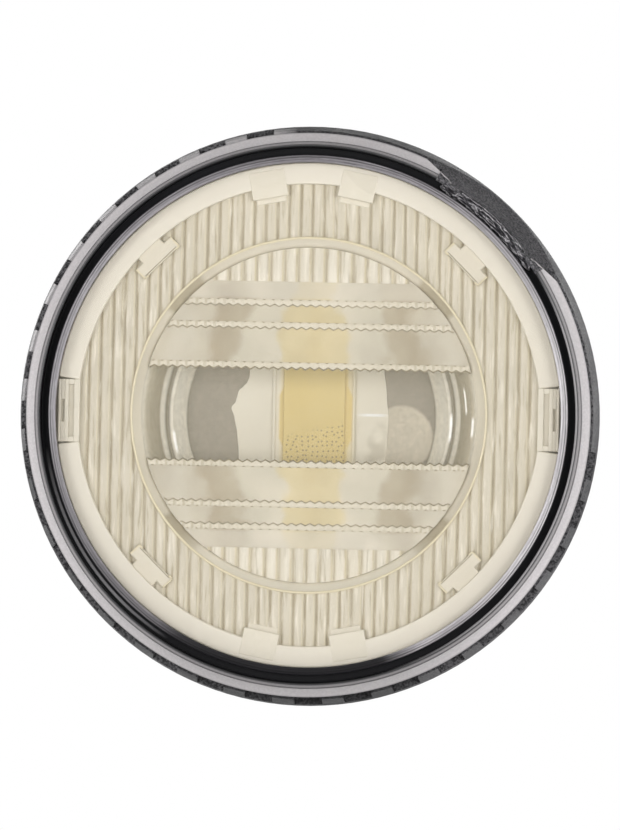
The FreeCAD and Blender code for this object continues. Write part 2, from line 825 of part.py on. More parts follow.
def make_connector_socket():
    low, high = "-inlet_z - 0.5 * inlet_height", "-inlet_z + 0.5 * inlet_height"
    flange_back = "inlet_flange_back + inlet_flange_thickness"
    shroud = block("inlet_shroud", centred("inlet_width"), ("inlet_flange_back", "inlet_back"), (low, high))
    flange = block("inlet_flange", centred("inlet_flange_width"), ("inlet_flange_back", flange_back),
                   (f"{low} - inlet_flange_drop", f"{high} + inlet_flange_rise"))
    hollow = block("inlet_hollow", ("-0.5 * inlet_width + inlet_wall", "0.5 * inlet_width - inlet_wall"),
                   ("inlet_floor_back", "inlet_back + 1"), (f"{low} + inlet_wall", f"{high} - inlet_wall"))
    key = block("inlet_key", centred("key_width"), ("sink_back + sink_plate + 4", "inlet_back - 2"),
                (high, f"{high} + key_height"))
    holes = pin_blocks("inlet_pin_hole", "inlet_flange_back - 1", "inlet_floor_back + 1")
    return cut("connector_socket", fuse("inlet_solid", [shroud, flange, key]), [hollow] + holes)


def make_connector_pins():
    return group("connector_pins", pin_blocks("connector_pin", DRIVER_FACE, "pin_back"))


def make_connector_seal():
    low, high = "-inlet_z - 0.5 * inlet_height", "-inlet_z + 0.5 * inlet_height"
    span = ("inlet_flange_back + inlet_flange_thickness", "sink_back")
    outside = block("inlet_seal_outside", centred("inlet_flange_width"), span,
                    (f"{low} - inlet_flange_drop", f"{high} + inlet_flange_rise"))
    inside = block("inlet_seal_inside", centred("inlet_width"),
                   ("inlet_flange_back", "sink_back + 1"), (low, high))
    return cut("connector_seal", outside, [inside])


def make_vent_cap():
    face = "sink_back + sink_plate"
    stem = rod("vent_stem_rod", "Y", (0, "sink_back", "vent_z"), "vent_stem", "sink_plate")
    cap = rod("vent_cap_disc", "Y", (0, face, "vent_z"), "vent_radius", "vent_height")
    slot = block("vent_slot_cut", centred("vent_slot"),
                 (f"{face} + vent_height - 0.8", f"{face} + vent_height + 1"),
                 ("vent_z - vent_radius - 1", "vent_z + vent_radius + 1"))
    return cut("vent_cap", fuse("vent_solid", [stem, cap]), [slot])


# ---- mounting ring, pivots, inserts -------------------------------------------------------------

INSERT_TURNS = (90, 210, 330)


def insert_rods(name, start, radius, length):
    rods = []
    for turn in INSERT_TURNS:
        x, z = polar("insert_circle", turn)
        rods.append(rod(f"{name}_{turn}", "Y", (x, start, z), radius, length))
    return rods


def make_mount_ring():
    body = new_body("mount_ring_turned")
    turned(body, "mount_turn", [
        ("mount_inner", "-mount_thickness"),
        ("mount_outer - mount_chamfer", "-mount_thickness"),
        ("mount_outer", "-mount_thickness + mount_chamfer"),
        ("mount_outer", "-mount_chamfer"),
        ("mount_outer - mount_chamfer", 0),
        ("mount_inner", 0),
    ])
    tools = insert_rods("insert_pocket", "-insert_depth", "insert_radius", "insert_depth + 1")
    for side, sign in SIDES:
        start = "mount_inner - 1" if sign > 0 else "-mount_outer - 1"
        tools.append(rod(f"pivot_hole_{side}", "X", (start, "-pivot_front", 0), "pivot_radius",
                         "mount_outer - mount_inner + 2"))
    tools.append(rod("aim_hole", "Y", (0, "-mount_thickness - 1", "-aim_z"), "aim_radius + aim_clearance",
                     "mount_thickness + 2"))
    tools.append(rod("aim_counterbore", "Y", (0, "-counterbore_depth", "-aim_z"), "counterbore_radius",
                     "counterbore_depth + 1"))
    return cut("mount_ring", body, tools)


def make_mount_inserts():
    outside = insert_rods("insert_body", "-insert_length", "insert_radius", "insert_length")
    bores = insert_rods("insert_bore_rod", "-insert_length - 1", "insert_bore", "insert_length + 2")
    return group("mount_inserts", [cut(f"insert_{turn}", solid, [bore])
                                   for turn, solid, bore in zip(INSERT_TURNS, outside, bores)])


def make_pivot_pins():
    return group("pivot_pins", [
        rod("pivot_pin_right", "X", ("pivot_inner + 0.3", "-pivot_front", 0), "pivot_radius",
            "pivot_outer - pivot_inner - 0.3"),
        rod("pivot_pin_left", "X", ("-pivot_outer", "-pivot_front", 0), "pivot_radius",
            "pivot_outer - pivot_inner - 0.3"),
    ])


def make_pivot_bushes():
    bushes = []
    for side, start in (("right", "pivot_inner"), ("left", "-bush_outer")):
        outside = rod(f"bush_outside_{side}", "X", (start, "-pivot_front", 0), "bush_radius",
                      "bush_outer - pivot_inner")
        bore = rod(f"bush_bore_{side}", "X", (f"{start} - 1", "-pivot_front", 0),
                   "pivot_radius + bush_clearance", "bush_outer - pivot_inner + 2")
        bushes.append(cut(f"bush_{side}", outside, [bore]))
    return group("pivot_bushes", bushes)


# ---- aiming gear --------------------------------------------------------------------------------

def make_aim_screw():
    shank = rod("aim_shank", "Y", (0, "-aim_collar_front", "-aim_z"), "aim_radius",
                "aim_collar_front + aim_back - aim_hex_length")
    collar = rod("aim_collar", "Y", (0, "-aim_collar_front", "-aim_z"), "aim_collar_radius",
                 "aim_collar_front - mount_thickness - aim_collar_gap")
    hexagon = doc.addObject("Part::Prism", "aim_hexagon")
    hexagon.Polygon = 6
    hexagon.Placement = Placement(Vector(), ALONG["Y"])
    bind(hexagon, "Circumradius", "0.5 * aim_hex_flats / cos(30)")
    bind(hexagon, "Height", "aim_hex_length + 1")
    place(hexagon, 0, "aim_back - aim_hex_length - 1", "-aim_z")
    groove_outside = rod("aim_groove_outside", "Y", (0, "-clip_groove_front", "-aim_z"),
                         "aim_radius + 1", "clip_thickness")
    groove_core = rod("aim_groove_core", "Y", (0, "-clip_groove_front - 1", "-aim_z"),
                      "clip_groove_radius", "clip_thickness + 2")
    groove = cut("aim_groove", groove_outside, [groove_core])
    return cut("aim_screw", fuse("aim_solid", [shank, collar, hexagon]), [groove])


def make_aim_screw_clip():
    disc = rod("aim_clip_disc", "Y", (0, "-clip_groove_front", "-aim_z"), "aim_clip_radius",
               "clip_thickness")
    hole = rod("aim_clip_hole", "Y", (0, "-clip_groove_front - 1", "-aim_z"), "clip_groove_radius",
               "clip_thickness + 2")
    mouth = block("aim_clip_mouth_cut", centred("aim_clip_mouth"),
                  ("-clip_groove_front - 1", "-clip_groove_front + 2"),
                  ("-aim_z - aim_clip_radius - 1", "-aim_z"))
    return cut("aim_screw_clip", disc, [hole, mouth])


def make_aim_nut():
    front, back = "nut_back - 0.5 * nut_length", "nut_back + 0.5 * nut_length"
    core = block("nut_block", centred("nut_width"), (front, back),
                 ("-aim_z - 0.5 * nut_height", "-aim_z + 0.5 * nut_height"))
    trunnion = rod("nut_trunnion", "X", ("-nut_pin_reach", "nut_back", "-aim_z"), "nut_pin_radius",
                   "2 * nut_pin_reach")
    bore = rod("nut_bore", "Y", (0, f"{front} - 1", "-aim_z"), "aim_radius + aim_clearance",
               "nut_length + 2")
    return cut("aim_nut", fuse("nut_solid", [core, trunnion]), [bore])


NODES = [
    make_housing(),
    make_retaining_ring(),
    make_outer_lens(),
    make_lens_seal(),
    make_carrier_ring(),
    make_inner_optic(),
    make_reflector_surround(),
    make_reflector_cup(),
    make_led_board(),
    make_led_phosphor(),
    make_screws("led_board_screws", small_screw_points(), "-board_front", "small_head_height",
                "small_head_radius", "small_screw_radius", "small_screw_length", forward=True),
    make_thermal_pad(),
    make_heat_sink(),
    make_heat_sink_gasket(),
    make_screws("heat_sink_screws", boss_points(), "sink_back + sink_plate", "screw_head_height",
                "screw_head_radius", "screw_radius", "(sink_back + sink_plate - boss_back - 1)",
                forward=False),
    make_driver_board(),
    make_driver_inductor(),
    make_driver_capacitors(),
    make_driver_chip(),
    make_screws("driver_screws", standoff_points(), "driver_back", "small_head_height",
                "small_head_radius", "small_screw_radius", "small_screw_length", forward=True),
    make_link_pins(),
    make_connector_socket(),
    make_connector_pins(),
    make_connector_seal(),
    make_vent_cap(),
    make_mount_ring(),
    make_mount_inserts(),
    make_pivot_pins(),
    make_pivot_bushes(),
    make_aim_screw(),
    make_aim_screw_clip(),
    make_aim_nut(),
]

doc.recompute()

for thing in doc.Objects:
    if "Invalid" in thing.State or "Error" in thing.State:
        raise RuntimeError(f"{thing.Label} failed: {thing.State}")

os.makedirs("parts", exist_ok=True)
for node in NODES:
    if node.Shape.isNull() or not node.Shape.isValid():
        raise RuntimeError(f"{node.Label} has no valid shape")
    node.Shape.exportStep(f"parts/{node.Label}.step")
    box = node.Shape.BoundBox
    print(f"{node.Label:22s} solids {len(node.Shape.Solids):2d}  volume {node.Shape.Volume:10.1f}  "
          f"x {box.XMin:7.2f} {box.XMax:7.2f}  y {box.YMin:7.2f} {box.YMax:7.2f}  "
          f"z {box.ZMin:7.2f} {box.ZMax:7.2f}")
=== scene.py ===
from math import asin, cos, degrees, pi, radians, sin, sqrt

import bmesh
import bpy
from mathutils import Matrix, Vector, noise


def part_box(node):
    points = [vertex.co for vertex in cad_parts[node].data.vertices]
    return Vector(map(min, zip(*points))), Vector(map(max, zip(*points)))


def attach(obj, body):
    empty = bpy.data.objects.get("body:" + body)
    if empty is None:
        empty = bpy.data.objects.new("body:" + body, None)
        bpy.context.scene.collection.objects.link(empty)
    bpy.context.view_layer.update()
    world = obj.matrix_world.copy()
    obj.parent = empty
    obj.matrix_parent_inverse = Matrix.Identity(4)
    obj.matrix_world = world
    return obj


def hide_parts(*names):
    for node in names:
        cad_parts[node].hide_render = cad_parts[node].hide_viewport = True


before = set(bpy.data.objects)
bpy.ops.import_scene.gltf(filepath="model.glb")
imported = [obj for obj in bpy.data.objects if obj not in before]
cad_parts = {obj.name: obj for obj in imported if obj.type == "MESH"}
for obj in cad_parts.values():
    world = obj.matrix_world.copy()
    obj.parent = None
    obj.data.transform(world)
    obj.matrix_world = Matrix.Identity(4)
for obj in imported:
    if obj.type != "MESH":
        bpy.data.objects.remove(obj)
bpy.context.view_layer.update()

MM = 0.001
LAMP = "lamp"


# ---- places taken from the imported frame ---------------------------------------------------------

def front_of(node):
    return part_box(node)[0][1]


def back_of(node):
    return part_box(node)[1][1]


def radius_of(node):
    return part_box(node)[1][0]


RIM_RADIUS = radius_of("housing")
RIM_BACK_DEPTH = 14.5 * MM
LENS_RADIUS = radius_of("lens_seal") - 1.2 * MM
LENS_LEG_INNER = LENS_RADIUS - 1.27 * MM
CARRIER_OUTER = radius_of("carrier_ring")
CARRIER_INNER = CARRIER_OUTER - 3.7 * MM
CARRIER_FRONT = front_of("carrier_ring")
OPTIC_RADIUS = CARRIER_INNER + 0.1 * MM
OPTIC_FRONT = CARRIER_FRONT + 1.8 * MM
OPTIC_BACK = CARRIER_FRONT + 3.8 * MM
BEAD_RADIUS = 31.0 * MM
WINDOW_RADIUS = radius_of("reflector_cup") - 2.7 * MM
WINDOW_FRONT = OPTIC_FRONT + 0.8 * MM
FLOOR_FRONT = front_of("led_board") + 0.1 * MM
BAND_EDGE = 23.3 * MM
RIDGE_HEIGHTS = (8.75 * MM, 15.75 * MM, 19.7 * MM)
RIDGE_PITCH = 1.6 * MM
FLUTE_PITCH = 2.03 * MM
WINDOW_FLUTE_PITCH = 2.4 * MM
FLAT_TURN = 47.8
TAB_TURNS = (45, 135, 225, 315)


# ---- mesh helpers -------------------------------------------------------------------------------

def new_piece(name, points, faces, finishes, face_slots=None, smooth_angle=35):
    """A mesh object with outward normals, smooth up to an angle."""
    mesh = bpy.data.meshes.new(name)
    mesh.from_pydata([tuple(point) for point in points], [], faces)
    if face_slots:
        mesh.polygons.foreach_set("material_index", face_slots)
    work = bmesh.new()
    work.from_mesh(mesh)
    bmesh.ops.remove_doubles(work, verts=work.verts, dist=1e-7)
    bmesh.ops.recalc_face_normals(work, faces=work.faces)
    work.to_mesh(mesh)
    work.free()
    mesh.shade_smooth()
    mesh.set_sharp_from_angle(angle=radians(smooth_angle))
    for finish in finishes:
        mesh.materials.append(FINISH[finish])
    piece = bpy.data.objects.new(name, mesh)
    bpy.context.collection.objects.link(piece)
    return piece


def settle(piece, body, slot, *nodes, bevel=None, steps=2):
    """Puts a finished piece on its body and hides what it stands for; the record slot it is given is not
    used.
    """
    if bevel:
        edge = piece.modifiers.new("rounded_edges", "BEVEL")
        edge.width = bevel
        edge.segments = steps
        edge.limit_method = "ANGLE"
        edge.angle_limit = radians(40)
        edge.harden_normals = True
    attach(piece, body)
    if nodes:
        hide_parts(*nodes)


def joined(name, parts, finish, slot, *nodes, smooth_angle=35, **rounding):
    """Joins (points, faces) parts into one piece of the lamp."""
    points, faces = gather(parts)
    settle(new_piece(name, points, faces, [finish], smooth_angle=smooth_angle), LAMP, slot, *nodes,
           **rounding)


def on_circle(radius, turn, y):
    return Vector((radius * cos(radians(turn)), y, radius * sin(radians(turn))))


def turned(name, section, finishes, slots=None, steps=288):
    """Turns a closed section of (radius, y) points about the beam axis."""
    size = len(section)
    points = [on_circle(radius, 360 * i / steps, y) for i in range(steps) for radius, y in section]
    faces = []
    for i in range(steps):
        a, b = i * size, ((i + 1) % steps) * size
        faces += [(a + k, a + (k + 1) % size, b + (k + 1) % size, b + k) for k in range(size)]
    return new_piece(name, points, faces, finishes, slots and slots * steps)


def prism_data(outline, front, back):
    """Points and faces of an (x, z) outline carried from front to back."""
    size = len(outline)
    points = [Vector((x, y, z)) for y in (front, back) for x, z in outline]
    faces = [tuple(range(size)), tuple(range(2 * size - 1, size - 1, -1))]
    faces += [(k, size + k, size + (k + 1) % size, (k + 1) % size) for k in range(size)]
    return points, faces


def gather(parts):
    """Joins several (points, faces) lists into one."""
    points, faces = [], []
    for some_points, some_faces in parts:
        offset = len(points)
        points += some_points
        faces += [tuple(offset + index for index in face) for face in some_faces]
    return points, faces


def rotated(outline, turn):
    c, s = cos(radians(turn)), sin(radians(turn))
    return [(x * c - z * s, x * s + z * c) for x, z in outline]


def arc_outline(inner, outer, start, end, steps):
    turns = [radians(turn) for turn in spans(start, end, steps)]
    return ([(outer * cos(a), outer * sin(a)) for a in turns]
            + [(inner * cos(a), inner * sin(a)) for a in reversed(turns)])


def box_outline(x_low, x_high, z_low, z_high):
    return [(x_low, z_low), (x_high, z_low), (x_high, z_high), (x_low, z_high)]


def block(turn, x_low, x_high, z_low, z_high, front, back):
    """A box whose sides are given in millimetres, carried round the beam axis."""
    outline = box_outline(*(side * MM for side in (x_low, x_high, z_low, z_high)))
    return prism_data(rotated(outline, turn), front, back)


def spans(start, end, steps):
    return [start + (end - start) * i / steps for i in range(steps + 1)]


def clamp(value, limit):
    return max(-limit, min(limit, value))


def chord(offset, radius=WINDOW_RADIUS):
    """Half the width of a circle at an offset from its middle."""
    return sqrt(max(radius ** 2 - offset ** 2, 1e-12))


def relief(columns, low, high, front, rows=6):
    """A slab of the optic: its face follows front(x, z), and low(x) and high(x) bound each column."""
    size, last = rows + 1, len(columns) - 1
    grid = [(x, z) for x in columns for z in spans(low(x), high(x), rows)]
    points = [Vector((x, front(x, z), z)) for x, z in grid]
    points += [Vector((x, OPTIC_BACK, z)) for x, z in grid]
    offset, faces = len(grid), []
    for i in range(last):
        for a in range(i * size, i * size + rows):
            faces.append((a, a + size, a + size + 1, a + 1))
            faces.append((offset + a, offset + a + 1, offset + a + size + 1, offset + a + size))
    border = [i * size for i in range(last + 1)]
    border += [last * size + j for j in range(1, size)]
    border += [i * size + rows for i in range(last - 1, -1, -1)]
    border += list(range(rows - 1, 0, -1))
    faces += [(a, offset + a, offset + b, b) for a, b in zip(border, border[1:] + border[:1])]
    return points, faces


# ---- shader helpers -----------------------------------------------------------------------------

def add_node(tree, kind, values=None, **settings):
    node = tree.nodes.new(kind)
    for key, value in settings.items():
        setattr(node, key, value)
    for key, value in (values or {}).items():
        if hasattr(value, "is_output"):
            tree.links.new(value, node.inputs[key])
        else:
            node.inputs[key].default_value = value
    return node


def calc(tree, operation, first, second=0.5):
    """One step of arithmetic."""
    return add_node(tree, "ShaderNodeMath", {0: first, 1: second}, operation=operation).outputs[0]


def times(tree, first, second):
    return calc(tree, "MULTIPLY", first, second)


def rescale(tree, value, low, high, start=0.0, end=1.0, clamp=True):
    """Carries the span low to high onto start to end."""
    return add_node(tree, "ShaderNodeMapRange", {"Value": value, "From Min": low, "From Max": high,
        "To Min": start, "To Max": end}, clamp=clamp).outputs[0]


def band(tree, value, start, full, leave, end):
    """One between full and leave, falling to nothing at start and end."""
    return times(tree, rescale(tree, value, start, full), rescale(tree, value, end, leave))


def vector_of(tree, x, y=0.0):
    return add_node(tree, "ShaderNodeCombineXYZ", {"X": x, "Y": y}).outputs["Vector"]


def stretched(tree, vector, scale):
    return add_node(tree, "ShaderNodeVectorMath", {0: vector, 1: scale}, operation="MULTIPLY").outputs[0]


def length_of(tree, vector):
    return add_node(tree, "ShaderNodeVectorMath", {0: vector}, operation="LENGTH").outputs["Value"]


def lumps(tree, vector, scale, detail, **more):
    """Noise over a place, from nothing to one."""
    return add_node(tree, "ShaderNodeTexNoise", {"Vector": vector, "Scale": scale, "Detail": detail,
        **more}).outputs["Fac"]


def place_of(tree):
    return add_node(tree, "ShaderNodeTexCoord").outputs["Object"]


def blank_group(name, inputs, outputs):
    group = bpy.data.node_groups.new(name, "ShaderNodeTree")
    for label, kind, value in inputs:
        socket = group.interface.new_socket(label, in_out="INPUT", socket_type=kind)
        socket.default_value = value
    for label, kind in outputs:
        group.interface.new_socket(label, in_out="OUTPUT", socket_type=kind)
    entry = group.nodes.new("NodeGroupInput")
    leave = group.nodes.new("NodeGroupOutput")
    return group, entry.outputs, leave.inputs


FLOAT, COLOUR = "NodeSocketFloat", "NodeSocketColor"


def make_grain_group():
    """Fine moulded or blasted grain: a height for bump and masks of specks and of soft clouds."""
    group, given, out = blank_group("moulded_grain", [("Size", FLOAT, 900.0), ("Cloud Size", FLOAT, 40.0)],
        [("Height", FLOAT), ("Speck", FLOAT), ("Cloud", FLOAT)])
    place = place_of(group)
    fine = lumps(group, place, given["Size"], 4.0, Roughness=0.65)
    broad = lumps(group, place, given["Cloud Size"], 3.0)
    group.links.new(fine, out["Height"])
    group.links.new(rescale(group, fine, 0.42, 0.62), out["Speck"])
    group.links.new(rescale(group, broad, 0.3, 0.7), out["Cloud"])
    return group


def make_polar_group():
    """Distance from the beam axis and angle about it, then the place itself, in metres and degrees."""
    group, given, out = blank_group("beam_axis", [], [("Radius", FLOAT), ("Turn", FLOAT), ("X", FLOAT),
        ("Depth", FLOAT), ("Height", FLOAT)])
    split = add_node(group, "ShaderNodeSeparateXYZ", {"Vector": place_of(group)}).outputs
    angle = calc(group, "ARCTAN2", split["Z"], split["X"])
    group.links.new(length_of(group, vector_of(group, split["X"], split["Z"])), out["Radius"])
    group.links.new(times(group, angle, 180 / pi), out["Turn"])
    group.links.new(split["X"], out["X"])
    group.links.new(split["Y"], out["Depth"])
    group.links.new(split["Z"], out["Height"])
    return group


def make_shade_group():
    """Blends a base colour towards a darker and a lighter tone with specks and clouds."""
    group, given, out = blank_group("tone_variation", [
        ("Base", COLOUR, (0.5, 0.5, 0.5, 1)), ("Dark", COLOUR, (0.3, 0.3, 0.3, 1)),
        ("Light", COLOUR, (0.7, 0.7, 0.7, 1)), ("Speck", FLOAT, 0.5), ("Cloud", FLOAT, 0.5),
        ("Speck Amount", FLOAT, 0.2), ("Cloud Amount", FLOAT, 0.2)], [("Color", COLOUR)])
    first = blend(group, times(group, given["Cloud"], given["Cloud Amount"]), given["Base"],
                       given["Dark"])
    second = blend(group, times(group, given["Speck"], given["Speck Amount"]), first, given["Light"])
    group.links.new(second, out["Color"])
    return group


def blend(tree, factor, first, second, mode="MIX"):
    node = tree.nodes.new("ShaderNodeMix")
    node.data_type = "RGBA"
    node.blend_type = mode
    for index, value in ((0, factor), (6, first), (7, second)):
        if hasattr(value, "is_output"):
            tree.links.new(value, node.inputs[index])
        else:
            node.inputs[index].default_value = value
    return node.outputs[2]


def darken(tree, colour, mask, amount=1.0):
    """Multiplies a colour by a mask or by another colour."""
    return blend(tree, amount, colour, mask, "MULTIPLY")


GRAIN = make_grain_group()
POLAR = make_polar_group()
SHADE = make_shade_group()


def use_group(tree, group, values=None):
    return add_node(tree, "ShaderNodeGroup", values, node_tree=group).outputs


def tone(*levels):
    """Display values 0-255, either one grey or red, green and blue, as a linear colour."""
    def linear(value):
        value /= 255
        return value / 12.92 if value <= 0.04045 else ((value + 0.055) / 1.055) ** 2.4
    red, green, blue = levels if len(levels) == 3 else levels * 3
    return linear(red), linear(green), linear(blue), 1.0


def grey(level):
    return level, level, level, 1.0


def blank_material(name):
    material = bpy.data.materials.new(name)
    material.use_nodes = True
    return material, material.node_tree


def shader_of(tree):
    return tree.nodes["Principled BSDF"]


def start_finish(name, size, cloud):
    """A blank material with its grain and its place about the beam axis."""
    material, tree = blank_material(name)
    return material, tree, use_group(tree, GRAIN, {"Size": size, "Cloud Size": cloud}), use_group(tree, POLAR)


def end_finish(material, colour, height, strength, distance, **values):
    """Joins the colour and a relief to the shader, then sets its plain values."""
    tree = material.node_tree
    shader = shader_of(tree)
    tree.links.new(colour, shader.inputs["Base Color"])
    bump = add_node(tree, "ShaderNodeBump", {"Height": height, "Strength": strength, "Distance": distance})
    tree.links.new(bump.outputs["Normal"], shader.inputs["Normal"])
    for key, value in values.items():
        shader.inputs[key.replace("_", " ")].default_value = value
    return material


def vary(tree, socket, cloud, low, high):
    """Lets a mask carry one of the shader's inputs from low to high."""
    tree.links.new(rescale(tree, cloud, 0.0, 1.0, low, high), shader_of(tree).inputs[socket])


def moulded(name, base, dark, light, roughness, size=900.0, cloud=40.0, bump=0.15, speck=0.15, clouds=0.25,
            **values):
    """A solid finish with grain, tone variation and uneven gloss."""
    gloss_spread, grain_depth = 0.08, 0.00004
    material, tree = blank_material(name)
    grain = use_group(tree, GRAIN, {"Size": size, "Cloud Size": cloud})
    colour = varied(tree, grain, base, dark, light, speck, clouds)
    vary(tree, "Roughness", grain["Cloud"], roughness - gloss_spread, roughness + gloss_spread)
    return end_finish(material, colour, grain["Height"], bump, grain_depth, **values)


def varied(tree, grain, base, dark, light, speck, clouds):
    return use_group(tree, SHADE, {"Base": tone(*base), "Dark": tone(*dark), "Light": tone(*light),
        "Speck": grain["Speck"], "Cloud": grain["Cloud"], "Speck Amount": speck,
        "Cloud Amount": clouds})["Color"]


def clear_moulding(name, tint, alpha, roughness):
    """Thin clear plastic: a light film of the tint that the light passes, with gentle flow marks."""
    material, tree = blank_material(name)
    grain = use_group(tree, GRAIN, {"Size": 500.0, "Cloud Size": 60.0})
    film = tone(*tint)
    colour = blend(tree, grain["Cloud"], film, tuple(0.94 * c for c in film[:3]) + (1,))
    vary(tree, "Alpha", grain["Cloud"], 0.9 * alpha, 1.1 * alpha)
    return end_finish(material, colour, grain["Height"], 0.05, 0.00003, Roughness=roughness, IOR=1.5)


def ramp(tree, value, stops, smooth=False):
    """A colour ramp over value; each stop is a place and a grey, a tone or a linear colour."""
    low, high = stops[0][0], stops[-1][0]
    node = tree.nodes.new("ShaderNodeValToRGB")
    node.color_ramp.interpolation = "EASE" if smooth else "LINEAR"
    elements = node.color_ramp.elements
    while len(elements) < len(stops):
        elements.new(0.5)
    for element, (place, *levels) in zip(elements, stops):
        element.position = (place - low) / (high - low)
        element.color = levels if len(levels) == 4 else tone(*levels)
    tree.links.new(rescale(tree, value, low, high), node.inputs["Fac"])
    return node.outputs["Color"]


# ---- finishes -----------------------------------------------------------------------------------

CREAM = (215, 208, 194)
CREAM_DARK = (204, 196, 178)
CREAM_LIGHT = (221, 215, 203)
WHITE = (1, 1, 1, 1)

# Painted light and shade across one pitch of a flute: dark painted shade in the valley at each end, light on
# the rib.
RING_FLUTE_TONES = (
    (0.0, 160, 149, 126), (0.08, 167, 156, 133), (0.14, 188, 179, 159), (0.22, 200, 192, 175),
    (0.50, 202, 194, 177), (0.70, 197, 189, 170), (0.78, 204, 193, 165), (0.85, 186, 177, 157),
    (0.93, 170, 159, 136), (1.0, 160, 149, 126))
WINDOW_FLUTE_TONES = (
    (0.0, 184, 174, 152), (0.08, 168, 157, 134), (0.16, 196, 187, 168), (0.30, 211, 204, 188),
    (0.55, 220, 214, 200), (0.75, 209, 201, 184), (0.88, 203, 191, 161), (1.0, 184, 174, 152))


def housing_black():
    """Textured black moulding with painted light and shade: a pale painted highlight on the skirt's posts
    over one quarter, painted shade on them over the lower quarter and painted shade by angle round the rim.
    """
    material, tree, grain, polar = start_finish("housing_black", 2700.0, 90.0)
    textured = varied(tree, grain, (38, 37, 40), (24, 23, 26), (150, 148, 151), 0.55, 0.35)
    # Painted shade by angle round the rim, darker where less light falls on the skirt.
    shade = ramp(tree, polar["Turn"], [
        (-180, 255), (-162, 232), (-118, 222), (-96, 150), (-74, 140), (-60, 225), (0, 245), (30, 255),
        (60, 240), (72, 165), (96, 168), (110, 255), (180, 255)])
    rim = band(tree, polar["Radius"], 0.0489, 0.0492, 0.052, 0.053)
    base = blend(tree, rim, textured, shade, "MULTIPLY")
    across_notch = calc(tree, "PINGPONG", calc(tree, "ADD", polar["Turn"], 359.0), 5.0)
    post = rescale(tree, across_notch, 2.4, 2.9)
    quarter = band(tree, polar["Turn"], 92.0, 98.0, 168.0, 184.0)
    front = band(tree, polar["Depth"], -0.030, -0.0255, -0.0205, -0.0178)
    # Painted pale highlight on the front of the skirt's posts over one quarter.
    painted_post_highlight = times(tree, times(tree, times(tree, post, quarter), front), 0.68)
    lower = band(tree, polar["Turn"], -176.0, -168.0, -82.0, -66.0)
    # Painted shade darkens the posts over the lower quarter to the tone of the shaded gaps between them.
    painted_post_shade = times(tree, times(tree, post, lower), 0.45)
    evened = blend(tree, painted_post_shade, base, tone(14, 14, 16))
    colour = blend(tree, painted_post_highlight, evened, tone(206, 202, 203))
    vary(tree, "Roughness", grain["Cloud"], 0.5, 0.68)
    return end_finish(material, colour, grain["Height"], 0.9, 0.00012, Specular_IOR_Level=0.3)


def bezel_grey():
    """Satin silver grey with painted light and shade: painted dark lines at its steps and outer edge,
    near-black painted shade in the lip's cavity round the lens, a pale painted sheen on the lip at the right
    and painted shade by angle.
    """
    material, tree, grain, polar = start_finish("bezel_grey", 2600.0, 60.0)
    # The ring's own satin grey by radius, with near-black painted shade on the lip and painted dark lines of
    # shade at the steps and the outer edge.
    steps = ramp(tree, polar["Radius"], [
        (0.0466, 8, 8, 10), (0.04696, 9, 9, 11), (0.04705, 82, 81, 83), (0.04712, 40, 39, 42),
        (0.0472, 132, 129, 130), (0.0474, 164, 160, 161), (0.04756, 150, 147, 148), (0.04766, 100, 98, 100),
        (0.0478, 196, 192, 193), (0.0490, 210, 205, 206), (0.0493, 150, 147, 149), (0.0494, 150, 147, 149)])
    # Painted pale sheen on the lip, low on the right.
    lip = times(tree, band(tree, polar["Radius"], 0.04655, 0.04668, 0.04690, 0.04698),
                band(tree, polar["Turn"], -72.0, -50.0, 18.0, 34.0))
    lipped = blend(tree, lip, steps, tone(166, 163, 164))
    # Painted shade by angle: darker at the top and bottom.
    shade = ramp(tree, polar["Turn"], [
        (-180, 255), (-150, 240), (-110, 206), (-70, 204), (-40, 248), (30, 255), (80, 234), (110, 240),
        (180, 255)])
    lipped = darken(tree, lipped, shade)
    colour = darken(tree, lipped, grain["Speck"], 0.12)
    vary(tree, "Roughness", grain["Cloud"], 0.36, 0.5)
    return end_finish(material, colour, grain["Height"], 0.25, 0.00003, Specular_IOR_Level=0.4)


def seal_black():
    """Black seal at the bottom of the groove, with one soft pale reflection low on the left."""
    material, tree, grain, polar = start_finish("seal_black", 900.0, 60.0)
    sheen = times(tree, band(tree, polar["Radius"], 0.04572, 0.04590, 0.04618, 0.04634),
                  band(tree, polar["Turn"], -172.0, -158.0, -135.0, -121.0))
    base = blend(tree, grain["Cloud"], tone(17, 17, 19), tone(24, 24, 27))
    colour = blend(tree, sheen, base, tone(170, 168, 170))
    return end_finish(material, colour, grain["Height"], 0.2, 0.00004, Roughness=0.6,
                      Specular_IOR_Level=0.12)


